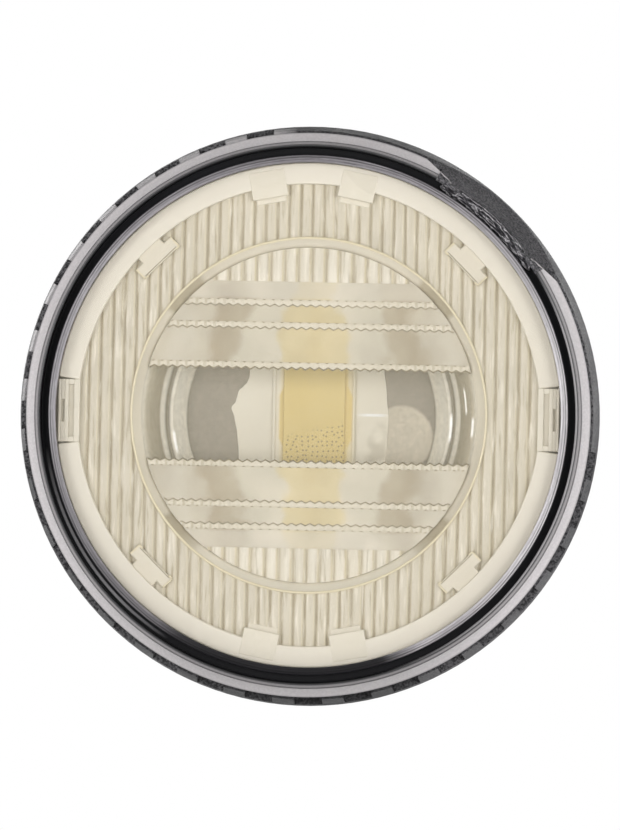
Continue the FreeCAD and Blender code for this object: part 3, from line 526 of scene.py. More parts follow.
def lens_edge_grey():
    """The lens's rolled edge in painted light and shade: grey streaks and lines of gathered light that run
    round it, painted shade by angle, darkest at the bottom, and a painted dark reflection on the roll.
    """
    material, tree = blank_material("lens_edge")
    polar = use_group(tree, POLAR)
    round_edge = stretched(tree, vector_of(tree, polar["Turn"], polar["Radius"]), (0.07, 4300.0, 1.0))
    streak = lumps(tree, round_edge, 1.0, 5.0, Roughness=0.7, Distortion=0.6)
    # Painted streaks of light gathered in the clear edge.
    colour = ramp(tree, streak, [
        (0.0, 124, 121, 124), (0.34, 124, 121, 124), (0.42, 196, 193, 195), (0.48, 158, 155, 158),
        (0.54, 216, 213, 215), (0.60, 182, 179, 182), (0.68, 242, 240, 241), (1.0, 242, 240, 241)])
    # Painted shade by angle, darkest at the bottom.
    shade = ramp(tree, polar["Turn"], [
        (-180, 200, 198, 200), (-150, 158, 156, 158), (-128, 152, 150, 152), (-119, 60, 59, 62),
        (-112, 40, 39, 42), (-72, 40, 39, 42), (-63, 220, 218, 219), (-30, 255, 254, 254),
        (10, 255, 254, 254), (60, 190, 188, 190), (95, 168, 166, 168), (150, 206, 204, 206),
        (180, 200, 198, 200)])
    shaded = darken(tree, colour, shade)
    wander = lumps(tree, vector_of(tree, polar["Turn"]), 0.035, 1.0)
    drift = rescale(tree, wander, 0.0, 1.0, -0.00022, 0.00022)
    # Painted thin lines of light and shade that run round the edge.
    lines = ramp(tree, calc(tree, "ADD", polar["Radius"], drift), [
        (0.04400, 232), (0.04428, 255), (0.04456, 206), (0.04472, 255), (0.04490, 172), (0.04500, 128),
        (0.04508, 246), (0.04520, 220), (0.04530, 255), (0.0456, 235)])
    lined = darken(tree, shaded, lines)
    # Painted dark reflection on the rolled edge.
    rolled = band(tree, polar["Radius"], 0.04520, 0.04532, 0.0470, 0.0471)
    colour = blend(tree, rolled, lined, tone(30, 29, 32))
    return end_finish(material, colour, streak, 0.3, 0.0001, Roughness=0.3, Specular_IOR_Level=0.15)


def gate_plastic():
    """Clear plastic in oval folds round the gate, painted with pools of dark shade and pale highlights on the
    curved lips between them.
    """
    material, tree = blank_material("gate_folds")
    polar = use_group(tree, POLAR)
    across = rescale(tree, polar["Turn"], FLAT_TURN, FLAT_TURN + 12.5, clamp=False)
    along = rescale(tree, polar["Radius"], 0.0463, 0.0476, clamp=False)
    spot = vector_of(tree, across, along)
    swirl = lumps(tree, stretched(tree, spot, (3.2, 1.3, 1.0)), 1.5, 4.0, Distortion=1.6)
    bent = calc(tree, "ADD", length_of(tree, spot), times(tree, swirl, 0.75))
    # Painted shade in the pools and painted highlights on the lips.
    colour = ramp(tree, calc(tree, "PINGPONG", bent, 0.16), [
        (0.0, 22, 21, 24), (0.05, 40, 39, 42), (0.085, 96, 94, 97), (0.12, 60, 59, 62),
        (0.15, 176, 173, 176), (0.16, 206, 203, 205)])
    return end_finish(material, colour, swirl, 0.5, 0.0003, Roughness=0.35, Specular_IOR_Level=0.2)


def flute_cream(name, pitch, stops):
    """Clear flutes over a cream backing: each rib's painted bands of light and shade, broken by upright
    streaks.
    """
    material, tree, grain, polar = start_finish(name, 700.0, 150.0)
    place = place_of(tree)
    flow = lumps(tree, stretched(tree, place, (420.0, 0.0, 70.0)), 1.0, 4.0, Roughness=0.6)
    phase = calc(tree, "FRACT", calc(tree, "DIVIDE", polar["X"], pitch))
    calm = blend(tree, rescale(tree, flow, 0.38, 0.72, 0.0, 0.7), ramp(tree, phase, stops),
                      tone(190, 181, 161))
    streak = lumps(tree, stretched(tree, place, (1350.0, 0.0, 150.0)), 1.0, 3.0)
    deep = rescale(tree, streak, 0.44, 0.30, 0.0, 0.7)
    bright = rescale(tree, streak, 0.56, 0.70, 0.0, 0.7)
    streaked = blend(tree, deep, calm, tone(158, 147, 123))
    streaked = blend(tree, bright, streaked, tone(226, 219, 204))
    colour = darken(tree, streaked, grain["Cloud"], 0.1)
    return end_finish(material, colour, flow, 0.2, 0.0001, Roughness=0.36, IOR=1.5, Specular_IOR_Level=0.3)


def ridge_shoulder():
    """The sloping sides of the ridges in painted shade, darkest on the pair beside the clear band."""
    material, tree, grain, polar = start_finish("ridge_side", 700.0, 110.0)
    colour = ramp(tree, calc(tree, "ABSOLUTE", polar["Height"]), [
        (0.007, 142, 131, 107), (0.0105, 146, 135, 111), (0.014, 154, 144, 121), (0.021, 160, 151, 130)])
    colour = darken(tree, colour, grain["Cloud"], 0.25)
    return end_finish(material, colour, grain["Height"], 0.1, 0.00004, Roughness=0.25, IOR=1.5)


def ridge_frosted():
    """Serrated ridges: pale crests, and painted shade of pits between the beads towards each end."""
    material, tree, grain, polar = start_finish("ridge_crest", 900.0, 150.0)
    # Painted shade of pits between the beads, growing towards each end.
    painted_pit_shade = rescale(tree, calc(tree, "PINGPONG", polar["X"], RIDGE_PITCH / 2), 0.00048, 0.00062)
    far = rescale(tree, calc(tree, "ABSOLUTE", polar["X"]), 0.009, 0.019, 0.0, 0.45)
    crest = blend(tree, grain["Cloud"], tone(196, 188, 169), tone(205, 197, 180))
    colour = blend(tree, times(tree, painted_pit_shade, far), crest, tone(156, 145, 121))
    return end_finish(material, colour, grain["Height"], 0.2, 0.00005, Roughness=0.22, IOR=1.5)


def band_milky():
    """Prism bands: milky plastic with painted soft smears of light and shade from the bowl and the strip
    behind it.
    """
    material, tree, grain, polar = start_finish("prism_band", 420.0, 130.0)
    sway = rescale(tree, lumps(tree, place_of(tree), 160.0, 2.0), 0.0, 1.0, -0.004, 0.004)
    lean = calc(tree, "ABSOLUTE", times(tree, polar["Height"], 0.12))
    away = calc(tree, "ABSOLUTE", calc(tree, "SUBTRACT", polar["X"], 0.0007))
    place_along = calc(tree, "ADD", calc(tree, "ADD", away, sway), lean)
    # Painted smears: the strip's yellow near the middle, the bowl's shade further out.
    colour = ramp(tree, place_along, [
        (0.0, 212, 195, 152), (0.0058, 212, 197, 158), (0.0076, 213, 205, 186), (0.0130, 209, 201, 182),
        (0.0155, 184, 173, 150), (0.0185, 176, 164, 141), (0.0215, 198, 189, 170), (0.0250, 206, 198, 181),
        (0.0290, 200, 191, 172), (0.033, 200, 191, 173)], smooth=True)
    outer = rescale(tree, calc(tree, "ABSOLUTE", polar["Height"]), 0.0195, 0.0208, 0.0, 0.62)
    colour = blend(tree, outer, colour, tone(217, 209, 193))
    colour = darken(tree, colour, grain["Cloud"], 0.1)
    vary(tree, "Alpha", grain["Cloud"], 0.78, 0.88)
    return end_finish(material, colour, grain["Height"], 0.1, 0.00005, Roughness=0.25, IOR=1.5)


def wall_finish():
    """The wall below the bead, with painted shade at the four diagonals where it backs onto open space and
    painted light at the bottom and, more faintly, the top.
    """
    material, tree, grain, polar = start_finish("window_wall", 700.0, 90.0)
    # Painted shade at the four diagonals.
    colour = ramp(tree, calc(tree, "PINGPONG", polar["Turn"], 90.0), [
        (0.0, 226, 218, 200), (35.0, 224, 216, 198), (37.0, 184, 173, 149), (50.0, 188, 177, 154),
        (52.0, 222, 214, 197), (90.0, 222, 214, 198)])
    # Painted light lifts the bottom, and more faintly the top.
    low = band(tree, polar["Turn"], -136.0, -118.0, -62.0, -44.0)
    high = band(tree, polar["Turn"], 54.0, 72.0, 108.0, 126.0)
    painted_light_lift = calc(tree, "ADD", low, times(tree, high, 0.4))
    colour = blend(tree, painted_light_lift, colour, tone(244, 238, 222))
    colour = darken(tree, colour, grain["Cloud"], 0.12)
    return end_finish(material, colour, grain["Height"], 0.1, 0.00004, Roughness=0.25, IOR=1.5)


def cup_metallised():
    """The bowl: a grey floor with a painted pale reflection on its right, then painted pale and dark bands of
    light and shade on the steps up to the rim, and painted white glints that glow.
    """
    material, tree, grain, polar = start_finish("cup_metallised", 1100.0, 70.0)
    # The floor's own grey, then painted bands of light and shade on the steps up to the rim.
    steps = ramp(tree, polar["Radius"], [
        (0.0, 152, 144, 131), (0.0140, 150, 142, 130), (0.0200, 142, 134, 123), (0.0218, 126, 119, 108),
        (0.0221, 250, 244, 229), (0.0236, 255, 251, 239), (0.0246, 252, 246, 231), (0.0249, 128, 119, 102),
        (0.0254, 130, 121, 104), (0.0257, 255, 252, 241), (0.0262, 252, 247, 234), (0.0265, 152, 143, 124),
        (0.0278, 180, 171, 151), (0.0285, 206, 196, 175), (0.0291, 244, 238, 222), (0.0293, 244, 238, 222)])
    # Painted pale reflection on the right of the floor.
    across = rescale(tree, polar["X"], 0.0160, 0.0215, clamp=False)
    above = rescale(tree, polar["Height"], -0.0034, 0.0024, clamp=False)
    inside = rescale(tree, length_of(tree, vector_of(tree, across, above)), 1.04, 0.94)
    floor = band(tree, polar["Radius"], 0.0, 0.001, 0.0216, 0.0219)
    painted_reflection_patch = times(tree, times(tree, floor, inside), calc(tree, "GREATER_THAN", polar["X"], 0.0125))
    shown = blend(tree, painted_reflection_patch, steps, tone(206, 196, 178))
    # Painted white glints, which also glow through the emission.
    shine = (0.0, 0.0, 0.0, 1.0)
    glints = ((24.2, 0.3, 186, 197), (24.7, 0.3, -10, 3), (28.6, 0.3, -7, 1), (27.4, 0.2, 1, 12))
    for radius, half, start, end in glints:
        middle = (start + end) / 2 - (360 if start > 180 else 0)
        spread = (end - start) / 2
        glint = times(tree, band(tree, polar["Radius"], (radius - half) * MM,
            (radius - 0.4 * half) * MM, (radius + 0.4 * half) * MM,
            (radius + half) * MM),
                      band(tree, polar["Turn"], middle - spread, middle - 0.6 * spread,
            middle + 0.6 * spread, middle + spread))
        shown = blend(tree, glint, shown, WHITE)
        shine = blend(tree, glint, shine, (1.0, 0.98, 0.93, 1))
    tree.links.new(shine, shader_of(tree).inputs["Emission Color"])
    colour = darken(tree, shown, grain["Speck"], 0.16)
    return end_finish(material, colour, grain["Height"], 0.1, 0.00004, Roughness=0.4, Metallic=0.02,
                      Emission_Strength=0.45)


def board_white():
    """White solder mask with painted light: the strip's yellow glow spread on it, soft painted grey
    reflections and a painted white streak to its right.
    """
    material, tree, grain, polar = start_finish("board_white", 500.0, 60.0)
    x, height = polar["X"], polar["Height"]
    base = blend(tree, grain["Cloud"], tone(240, 234, 218), tone(232, 225, 208))
    # Painted yellow light of the strip, spread on the board.
    warm = band(tree, x, -0.0058, -0.0048, 0.0062, 0.0080)
    warmed = blend(tree, warm, base, tone(236, 220, 170))
    bulge = rescale(tree, calc(tree, "ABSOLUTE", height), 0.0056, 0.0038, 0.0, 0.0009)
    glow = times(tree, rescale(tree, calc(tree, "ADD", x, bulge), -0.0050, -0.0045),
                 rescale(tree, calc(tree, "SUBTRACT", x, bulge), 0.0065, 0.0060))
    warmed = blend(tree, glow, warmed, tone(232, 207, 130))
    # Painted soft grey reflections near the lower right.
    shape = rescale(tree, lumps(tree, place_of(tree), 300.0, 0.0, Distortion=0.4), 0.46, 0.64)
    corner = times(tree, band(tree, x, 0.0076, 0.0090, 0.0128, 0.0140),
                   band(tree, height, -0.0095, -0.0085, -0.0015, -0.0002))
    shaded = blend(tree, times(tree, shape, corner), warmed, tone(206, 198, 181))
    # Painted white highlight streak to the right.
    streak = times(tree, band(tree, x, 0.0078, 0.0098, 0.0120, 0.0138),
                   band(tree, height, 0.0002, 0.00045, 0.00065, 0.0009))
    colour = blend(tree, streak, shaded, WHITE)
    return end_finish(material, colour, grain["Height"], 0.12, 0.00004, Roughness=0.4)


def phosphor_yellow():
    """Yellow silicone over rows of chips, faintly dotted where the chips lie."""
    material, tree, grain, polar = start_finish("phosphor_yellow", 600.0, 110.0)
    dots = add_node(tree, "ShaderNodeTexVoronoi", {
        "Vector": vector_of(tree, polar["X"], polar["Height"]), "Scale": 1120.0, "Randomness": 0.6},
        voronoi_dimensions="2D").outputs["Distance"]
    dot = rescale(tree, dots, 0.12, 0.22, 1.0, 0.0)
    drop = calc(tree, "SUBTRACT", times(tree, polar["X"], 0.28), polar["Height"])
    mask = times(tree, times(tree, dot, rescale(tree, drop, 0.0015, 0.0030)), 0.8)
    body = blend(tree, grain["Cloud"], tone(226, 199, 118), tone(231, 206, 132))
    colour = blend(tree, mask, body, tone(122, 101, 54))
    return end_finish(material, colour, grain["Height"], 0.12, 0.00004, Roughness=0.45)


def stage_paper():
    """Matt pale paper with the faintest mottle, shown mostly by its own even tone."""
    material, tree = blank_material("stage_white")
    shader = shader_of(tree)
    cloud = use_group(tree, GRAIN, {"Size": 30.0, "Cloud Size": 2.0})["Cloud"]
    seen = add_node(tree, "ShaderNodeLightPath").outputs["Is Camera Ray"]
    mottle = blend(tree, cloud, grey(0.84), grey(0.88))
    tree.links.new(blend(tree, seen, mottle, grey(0.16)), shader.inputs["Base Color"])
    vary(tree, "Emission Strength", seen, 0.3, 0.78)
    shader.inputs["Roughness"].default_value = 0.9
    shader.inputs["Specular IOR Level"].default_value = 0.0
    shader.inputs["Emission Color"].default_value = WHITE
    return material


def make_finishes():
    return {
        "housing": housing_black(),
        "retaining_ring": bezel_grey(),
        "outer_lens": clear_moulding("lens_clear", (240, 232, 208), 0.05, 0.04),
        "lens_edge": lens_edge_grey(),
        "lens_gate": gate_plastic(),
        "lens_seal": seal_black(),
        "carrier_ring": moulded("carrier_cream", CREAM, CREAM_DARK, CREAM_LIGHT, 0.42, size=500.0,
        bump=0.12, clouds=0.18),
        "carrier_tab": moulded("tab_cream", (206, 198, 181), (194, 185, 166), (214, 207, 193), 0.38,
        size=500.0, bump=0.12, clouds=0.3),
        "reflector_surround": moulded("surround_cream", (214, 206, 190), CREAM_DARK, CREAM_LIGHT, 0.5),
        "reflector_cup": cup_metallised(),
        "flutes": flute_cream("flute_cream", FLUTE_PITCH, RING_FLUTE_TONES),
        "window_flutes": flute_cream("window_flute", WINDOW_FLUTE_PITCH, WINDOW_FLUTE_TONES),
        "frosted": moulded("frosted_lug", (211, 204, 188), (201, 193, 175), (218, 211, 198), 0.3,
        size=800.0, bump=0.25, clouds=0.35, speck=0.3),
        "ridge_crest": ridge_frosted(),
        "ridge_side": ridge_shoulder(),
        "bead": moulded("bead_warm", (211, 200, 170), (203, 191, 158), (217, 208, 184), 0.34, size=500.0),
        "window_wall": wall_finish(),
        "window_clear": clear_moulding("window_clear", (234, 222, 190), 0.06, 0.06),
        "window_milky": band_milky(),
        "led_board": board_white(),
        "led_phosphor": phosphor_yellow(),
        "thermal_pad": moulded("pad_grey", (150, 160, 172), (134, 144, 156), (170, 178, 190), 0.7),
        "heat_sink": moulded("sink_black", (52, 52, 55), (38, 38, 41), (84, 84, 88), 0.5, size=1000.0,
        bump=0.5, speck=0.35, Metallic=0.4),
        "steel": moulded("screw_zinc", (188, 190, 194), (150, 150, 154), (214, 216, 220), 0.3, size=700.0,
        Metallic=1.0),
        "spring_steel": moulded("clip_steel", (112, 112, 116), (86, 84, 84), (140, 140, 144), 0.38,
        Metallic=1.0),
        "brass": moulded("insert_brass", (206, 176, 112), (176, 144, 82), (226, 202, 146), 0.34,
        Metallic=1.0),
        "tinned": moulded("pin_tin", (206, 196, 166), (180, 166, 130), (224, 220, 204), 0.3, Metallic=1.0),
        "driver_board": moulded("board_green", (34, 92, 62), (24, 74, 48), (58, 118, 84), 0.35),
        "ferrite": moulded("coil_ferrite", (58, 55, 56), (42, 40, 41), (88, 84, 84), 0.55),
        "can": moulded("can_aluminium", (196, 198, 202), (168, 170, 174), (220, 222, 224), 0.3,
                       Metallic=1.0),
        "nylon_black": moulded("nylon_black", (44, 44, 46), (32, 32, 34), (70, 70, 73), 0.5, size=800.0,
        bump=0.4, clouds=0.3),
        "silicone": moulded("silicone_red", (150, 78, 58), (128, 62, 46), (172, 100, 80), 0.55),
        "acetal": moulded("acetal_white", (224, 222, 214), (206, 203, 192), (236, 235, 230), 0.4),
        "stage": stage_paper(),
    }


FINISH = make_finishes()

NODE_FINISH = {
    "inner_optic": "frosted", "led_board_screws": "steel", "heat_sink_gasket": "lens_seal",
    "heat_sink_screws": "steel", "driver_inductor": "ferrite", "driver_capacitors": "can",
    "driver_chip": "nylon_black", "driver_screws": "steel", "link_pins": "tinned",
    "connector_socket": "nylon_black", "connector_pins": "tinned", "connector_seal": "silicone",
    "vent_cap": "nylon_black", "pivot_bushes": "acetal", "mount_ring": "nylon_black",
    "mount_inserts": "brass", "pivot_pins": "steel", "aim_screw": "steel",
    "aim_screw_clip": "spring_steel", "aim_nut": "acetal",
}


def finish_cad_nodes():
    """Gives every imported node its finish, which has the node's own name unless listed above."""
    for name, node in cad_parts.items():
        node.data.materials.clear()
        node.data.materials.append(FINISH[NODE_FINISH.get(name, name)])


# ---- front pieces -------------------------------------------------------------------------------

def make_outer_lens():
    """A shallow dome with a rolled edge and a leg that sits in the housing's groove."""
    crown, foot = front_of("outer_lens") + 0.15 * MM, back_of("outer_lens") - 0.05 * MM
    sag, thickness, roll, pole = 1.55 * MM, 2.0 * MM, 0.3 * MM, 0.02 * MM
    inner, flat_edge = LENS_LEG_INNER, LENS_RADIUS - roll
    front_rings, back_rings = 14, 10

    def dome(r):
        return crown + sag * (r / LENS_RADIUS) ** 2

    section = [(r, dome(r)) for r in spans(pole, inner - 0.05 * MM, front_rings)]
    section += [(flat_edge + roll * sin(radians(a)), dome(flat_edge) + roll * (1 - cos(radians(a))))
                for a in (0, 30, 60, 90)]
    section += [(LENS_RADIUS, foot), (inner, foot), (inner, dome(inner) + thickness)]
    section += [(r, dome(r) + thickness) for r in reversed(spans(pole, inner - 0.8 * MM, back_rings))]
    slots = [0] * front_rings + [1] * 7
    slots += [0] * (len(section) - len(slots))
    settle(turned("cover_lens", section, ["outer_lens", "lens_edge"], slots), LAMP, "outer_lens",
           "outer_lens")


def make_bezel():
    """The retaining ring, cut away on a slant at both ends where the housing's flat comes through."""
    section = [(46.6, -26.3), (49.25, -26.3), (49.25, -27.95), (49.1, -28.15), (47.82, -29.25),
               (47.7, -29.12), (47.6, -29.32), (47.25, -29.72), (47.08, -29.85), (46.85, -29.8),
               (46.68, -29.6), (46.6, -29.2)]
    steps, size = 320, len(section)
    inner_half, slant, slant_start, slant_width = 11.6, 6.9, 47.6, 1.6
    points, faces = [], []
    for i in range(steps + 1):
        for r, y in section:
            half = inner_half + slant * min(1.0, max(0.0, (r - slant_start) / slant_width))
            start, end = FLAT_TURN + half, FLAT_TURN + 360 - half
            points.append(on_circle(r * MM, start + (end - start) * i / steps, y * MM))
    for a in range(0, steps * size, size):
        faces += [(a + k, a + (k + 1) % size, a + size + (k + 1) % size, a + size + k) for k in range(size)]
    faces.append(tuple(range(size)))
    faces.append(tuple(reversed(range(steps * size, steps * size + size))))
    joined("bezel_ring", [(points, faces)], "retaining_ring", "retaining_ring", "retaining_ring",
           smooth_angle=24)


def make_lens_gate():
    """The rough oval gate left on the lens's edge, with folds of plastic set round it."""
    rows, steps, reach = 16, 120, 13.2
    middle, half_width, base = 46.4, 1.1, -27.6
    points, faces = [], []
    for across in spans(-1, 1, steps):
        turn = FLAT_TURN + reach * across
        room = sqrt(max(0.0, 1 - abs(across) ** 3))
        for u in spans(0, 1, rows):
            r = middle + half_width * room * (2 * u - 1)
            ring = sqrt(across ** 2 + (2 * u - 1) ** 2)
            lump = noise.noise(Vector((turn * 0.8, r * 2.4, 3.0)))
            fold = 0.16 * cos(11.0 * ring + 1.6 * lump) * max(0.0, 1 - ring ** 4 / 1.4)
            proud = 1.35 * u + 0.3 * room + fold + 0.25 * lump * room
            points.append(on_circle(r * MM, turn, (base - proud) * MM))
    size = rows + 1
    for i in range(steps):
        faces += [(a, a + 1, a + size + 1, a + size) for a in range(i * size, i * size + rows)]
    piece = new_piece("lens_gate", points, faces, ["lens_gate"])
    piece.modifiers.new("body", "SOLIDIFY").thickness = 0.4 * MM
    settle(piece, LAMP, "outer_lens")


def make_carrier():
    """Cream ring in two tiers: a full ring behind, and arcs between the notches in front."""
    back = back_of("carrier_ring")
    clip_half = degrees(asin(5.6 * MM / (42.0 * MM)))
    arcs = [arc_outline(CARRIER_INNER, CARRIER_OUTER, start + clip_half, start + 180 - clip_half, 110)
            for start in (0, 180)]
    joined("carrier_front", [prism_data(arc, CARRIER_FRONT, OPTIC_BACK) for arc in arcs], "carrier_ring",
           "carrier_ring", "carrier_ring", bevel=0.28 * MM, steps=3)
    make_tabs()
    ring = turned("carrier_back", [(CARRIER_INNER, OPTIC_BACK), (CARRIER_OUTER, OPTIC_BACK),
        (CARRIER_OUTER, back), (CARRIER_INNER, back)], ["carrier_ring"])
    settle(ring, LAMP, "carrier_ring", bevel=0.2 * MM)


def make_tabs():
    """Four T-shaped tabs, each with a raised lip round its head and a thin strip of painted shade as a crease
    behind the lip.
    """
    neck, head = 2.6 * MM, 4.15 * MM
    root, collar, tip = CARRIER_INNER + 0.5 * MM, 39.3 * MM, 37.0 * MM
    tab = [(root, neck), (collar, neck), (collar, head), (tip, head), (tip, -head), (collar, -head),
           (collar, -neck), (root, -neck)]
    joined("carrier_tabs", [prism_data(rotated(tab, turn), OPTIC_FRONT - 1.2 * MM, OPTIC_FRONT)
        for turn in TAB_TURNS], "carrier_tab", "carrier_ring", bevel=0.32 * MM, steps=3)
    lips = [(36.85, 37.15, 3.3, 4.2), (36.85, 39.2, 3.95, 4.25), (36.85, 37.15, -4.2, -3.3),
            (36.85, 39.2, -4.25, -3.95)]
    joined("tab_lips", [block(turn, *lip, OPTIC_FRONT - 1.32 * MM, OPTIC_FRONT)
                        for turn in TAB_TURNS for lip in lips], "bead", "carrier_ring", bevel=0.08 * MM)
    # A thin strip in the ridges' painted shade tone stands for the crease behind each lip.
    joined("tab_creases", [block(turn, 37.2, 37.38, -3.7, 3.7, OPTIC_FRONT - 1.23 * MM, OPTIC_FRONT)
        for turn in TAB_TURNS], "ridge_side", "carrier_ring", bevel=0.05 * MM)


def fluted(front, pitch, depth):
    """A face of rounded upright ribs with narrow valleys between them."""
    return lambda x, z: front - depth * (1 - abs(2 * ((x / pitch) % 1.0) - 1) ** 3) + 0.1 * MM


def make_flute_ring():
    """Upright flutes over the whole optic ring, clipped to its inner and outer circles."""
    outer, inner = OPTIC_RADIUS - 0.05 * MM, BEAD_RADIUS + 0.2 * MM
    face = fluted(OPTIC_FRONT, FLUTE_PITCH, 0.3 * MM)
    middle = spans(-inner, inner, 430)
    side = spans(inner, outer - 0.01 * MM, 64)

    def top(x):
        return chord(x, outer)

    def bottom(x):
        return -chord(x, outer)

    parts = [relief(middle, lambda x: chord(x, inner), top, face),
             relief(middle, bottom, lambda x: -chord(x, inner), face),
             relief(side, bottom, top, face, rows=16),
             relief([-x for x in reversed(side)], bottom, top, face, rows=16)]
    joined("flute_ring", parts, "flutes", "inner_optic", "inner_optic", smooth_angle=50)


def make_bead_and_wall():
    """The raised bead round the window and the short wall that drops to it."""
    half = 0.22 * MM
    middle = OPTIC_FRONT - 0.75 * MM + half
    bead = [(BEAD_RADIUS + half * cos(radians(a)), middle - half * sin(radians(a)))
            for a in range(0, 181, 20)]
    wall = WINDOW_RADIUS + 0.05 * MM
    section = [(BEAD_RADIUS + half, OPTIC_BACK)] + bead + [(wall, WINDOW_FRONT + 0.6 * MM),
        (wall, OPTIC_BACK)]
    settle(turned("window_bead", section, ["bead", "window_wall"], [0] * len(bead) + [1, 1, 1]), LAMP,
           "inner_optic")


def make_window_bands():
    """The window between its ridges: a clear middle band and milky prism bands above and below."""
    half = 0.45 * MM
    inner, middle, outer = RIDGE_HEIGHTS
    joined("window_middle", [band_data(-inner + half, inner - half, 0.0)], "window_clear", "inner_optic")
    milky = ((inner + half, middle - half), (middle + half, outer - half), (outer + half, BAND_EDGE))
    joined("window_prism_bands", [band_data(sign * low, sign * high, 0.35 * MM)
        for sign in (1, -1) for low, high in milky], "window_milky",
           "inner_optic")


def band_data(z_first, z_second, slope):
    """One full-width band of the window, thicker towards one long edge."""
    low, high = sorted((z_first, z_second))
    near = min(abs(low), abs(high))
    reach = WINDOW_RADIUS + 0.07 * MM
    columns = spans(-chord(near if low * high > 0 else 0, reach), 0, 60)
    columns += [-x for x in reversed(columns[:-1])]

    def limit(x, z):
        return clamp(z, sqrt(max(reach ** 2 - x ** 2, 0.0)))

    def face(x, z):
        return WINDOW_FRONT - slope * (1 - (abs(z) - near) / (high - low))

    return relief(columns, lambda x: limit(x, low), lambda x: limit(x, high), face, rows=5)


def ridge_data(z):
    """A serrated bar across the window: scalloped sides that slope up to a pale crest."""
    reach = chord(abs(z) - 0.5 * MM)
    height, sides, offset_teeth = 0.2 * MM, 7, 0.15
    columns = int(2 * reach / (RIDGE_PITCH / 12))
    points, faces = [], []
    for x in spans(-reach, reach, columns):
        tooth = 1 - 2 * abs((x / RIDGE_PITCH) % 1.0 - 0.5)
        other = 1 - 2 * abs((x / RIDGE_PITCH + offset_teeth) % 1.0 - 0.5)
        foot, shoulder = (0.5 + 0.45 * tooth) * MM, (0.26 + 0.45 * tooth) * MM
        far_foot, far_shoulder = (0.5 + 0.45 * other) * MM, (0.26 + 0.45 * other) * MM
        crest = height * (0.7 + 0.3 * tooth)
        for side, y in ((-foot, WINDOW_FRONT), (-shoulder, WINDOW_FRONT - crest),
                        (0.0, WINDOW_FRONT - 0.8 * crest), (far_shoulder, WINDOW_FRONT - crest),
                        (far_foot, WINDOW_FRONT), (far_foot, OPTIC_BACK), (-foot, OPTIC_BACK)):
            points.append(Vector((x, y, clamp(z + side, chord(x)))))
    for a in range(0, sides * columns, sides):
        faces += [(a + k, a + sides + k, a + sides + (k + 1) % sides, a + (k + 1) % sides)
                  for k in range(sides)]
    faces.append(tuple(range(sides)))
    faces.append(tuple(reversed(range(sides * columns, sides * columns + sides))))
    return points, faces, [1, 0, 0, 1, 0, 0, 0] * columns + [0, 0]


def make_ridges():
    bars = [ridge_data(sign * z) for z in RIDGE_HEIGHTS for sign in (1, -1)]
    points, faces = gather([bar[:2] for bar in bars])
    slots = [slot for bar in bars for slot in bar[2]]
    piece = new_piece("window_ridges", points, faces, ["ridge_crest", "ridge_side"], slots, smooth_angle=60)
    settle(piece, LAMP, "inner_optic")


def make_window_flutes():
    """Upright flutes in the window's top and bottom segments."""
    reach = chord(BAND_EDGE) - 0.02 * MM
    columns = spans(-reach, reach, 300)
    face = fluted(WINDOW_FRONT, WINDOW_FLUTE_PITCH, 0.32 * MM)
    joined("window_flutes", [relief(columns, lambda x: BAND_EDGE, chord, face),
        relief(columns, lambda x: -chord(x), lambda x: -BAND_EDGE, face)],
           "window_flutes", "inner_optic", smooth_angle=50)


def make_lugs_and_clips():
    """Four locating lugs at the top and bottom and a slotted snap clip at each side."""
    parts = []
    for turn in (79, 101, 259, 281):
        parts.append(block(turn, 38.5, 43.3, -3.15, 3.15, CARRIER_FRONT - 0.06 * MM, OPTIC_BACK))
        parts.append(block(turn, 37.6, 39.2, -2.6, 2.6, OPTIC_FRONT - 0.34 * MM, OPTIC_FRONT))
    clip = ((40.0, 41.05, -5.5, 5.5), (41.95, 42.7, -5.5, 5.5), (43.3, 43.75, -5.5, 5.5),
            (41.0, 42.0, 4.5, 5.5), (41.0, 42.0, -5.5, -4.5), (42.65, 43.35, 1.9, 5.5),
            (42.65, 43.35, -5.5, -1.9))
    for turn in (0, 180):
        parts += [block(turn, *bar, CARRIER_FRONT, OPTIC_BACK) for bar in clip]
        parts.append(block(turn, 40.5, 43.5, -5.3, 5.3, OPTIC_FRONT - 0.9 * MM, OPTIC_BACK))
    joined("optic_lugs_and_clips", parts, "frosted", "inner_optic", bevel=0.2 * MM)


def make_cup():
    """The stepped bowl behind the window, as radius and depth ahead of its floor."""
    front, floor = front_of("reflector_cup"), FLOOR_FRONT
    inside = ((0.05, 0.0), (21.6, 0.0), (22.0, 0.3), (24.2, 4.6), (24.6, 4.8), (25.2, 5.0), (25.6, 6.6),
              (26.3, 8.0), (26.9, 8.4), (28.2, 11.4))
    rim = ((29.3, 0.2), (29.6, 0.0), (32.0, 0.0), (32.0, 1.0), (30.6, 1.0))
    outside = ((27.5, 7.4), (25.6, 3.4), (23.2, -1.5), (0.05, -1.5))
    section = [(r * MM, floor - rise * MM) for r, rise in inside]
    section += [(r * MM, front + drop * MM) for r, drop in rim]
    section += [(r * MM, floor - rise * MM) for r, rise in outside]
    settle(turned("bowl", section, ["reflector_cup"]), LAMP, "reflector_cup", "reflector_cup")


BOARD_LEFT = ((-9.5, -12.5), (-6.0, -12.7), (-3.0, -13.0), (-0.5, -13.5), (1.4, -14.1), (2.6, -13.3),
              (3.4, -13.1), (4.4, -12.9), (5.2, -12.0), (6.0, -11.3), (7.0, -11.0), (9.5, -10.9))
BOARD_RIGHT = ((-9.5, 13.0), (-4.0, 13.4), (0.0, 13.6), (4.0, 13.2), (9.5, 12.6))


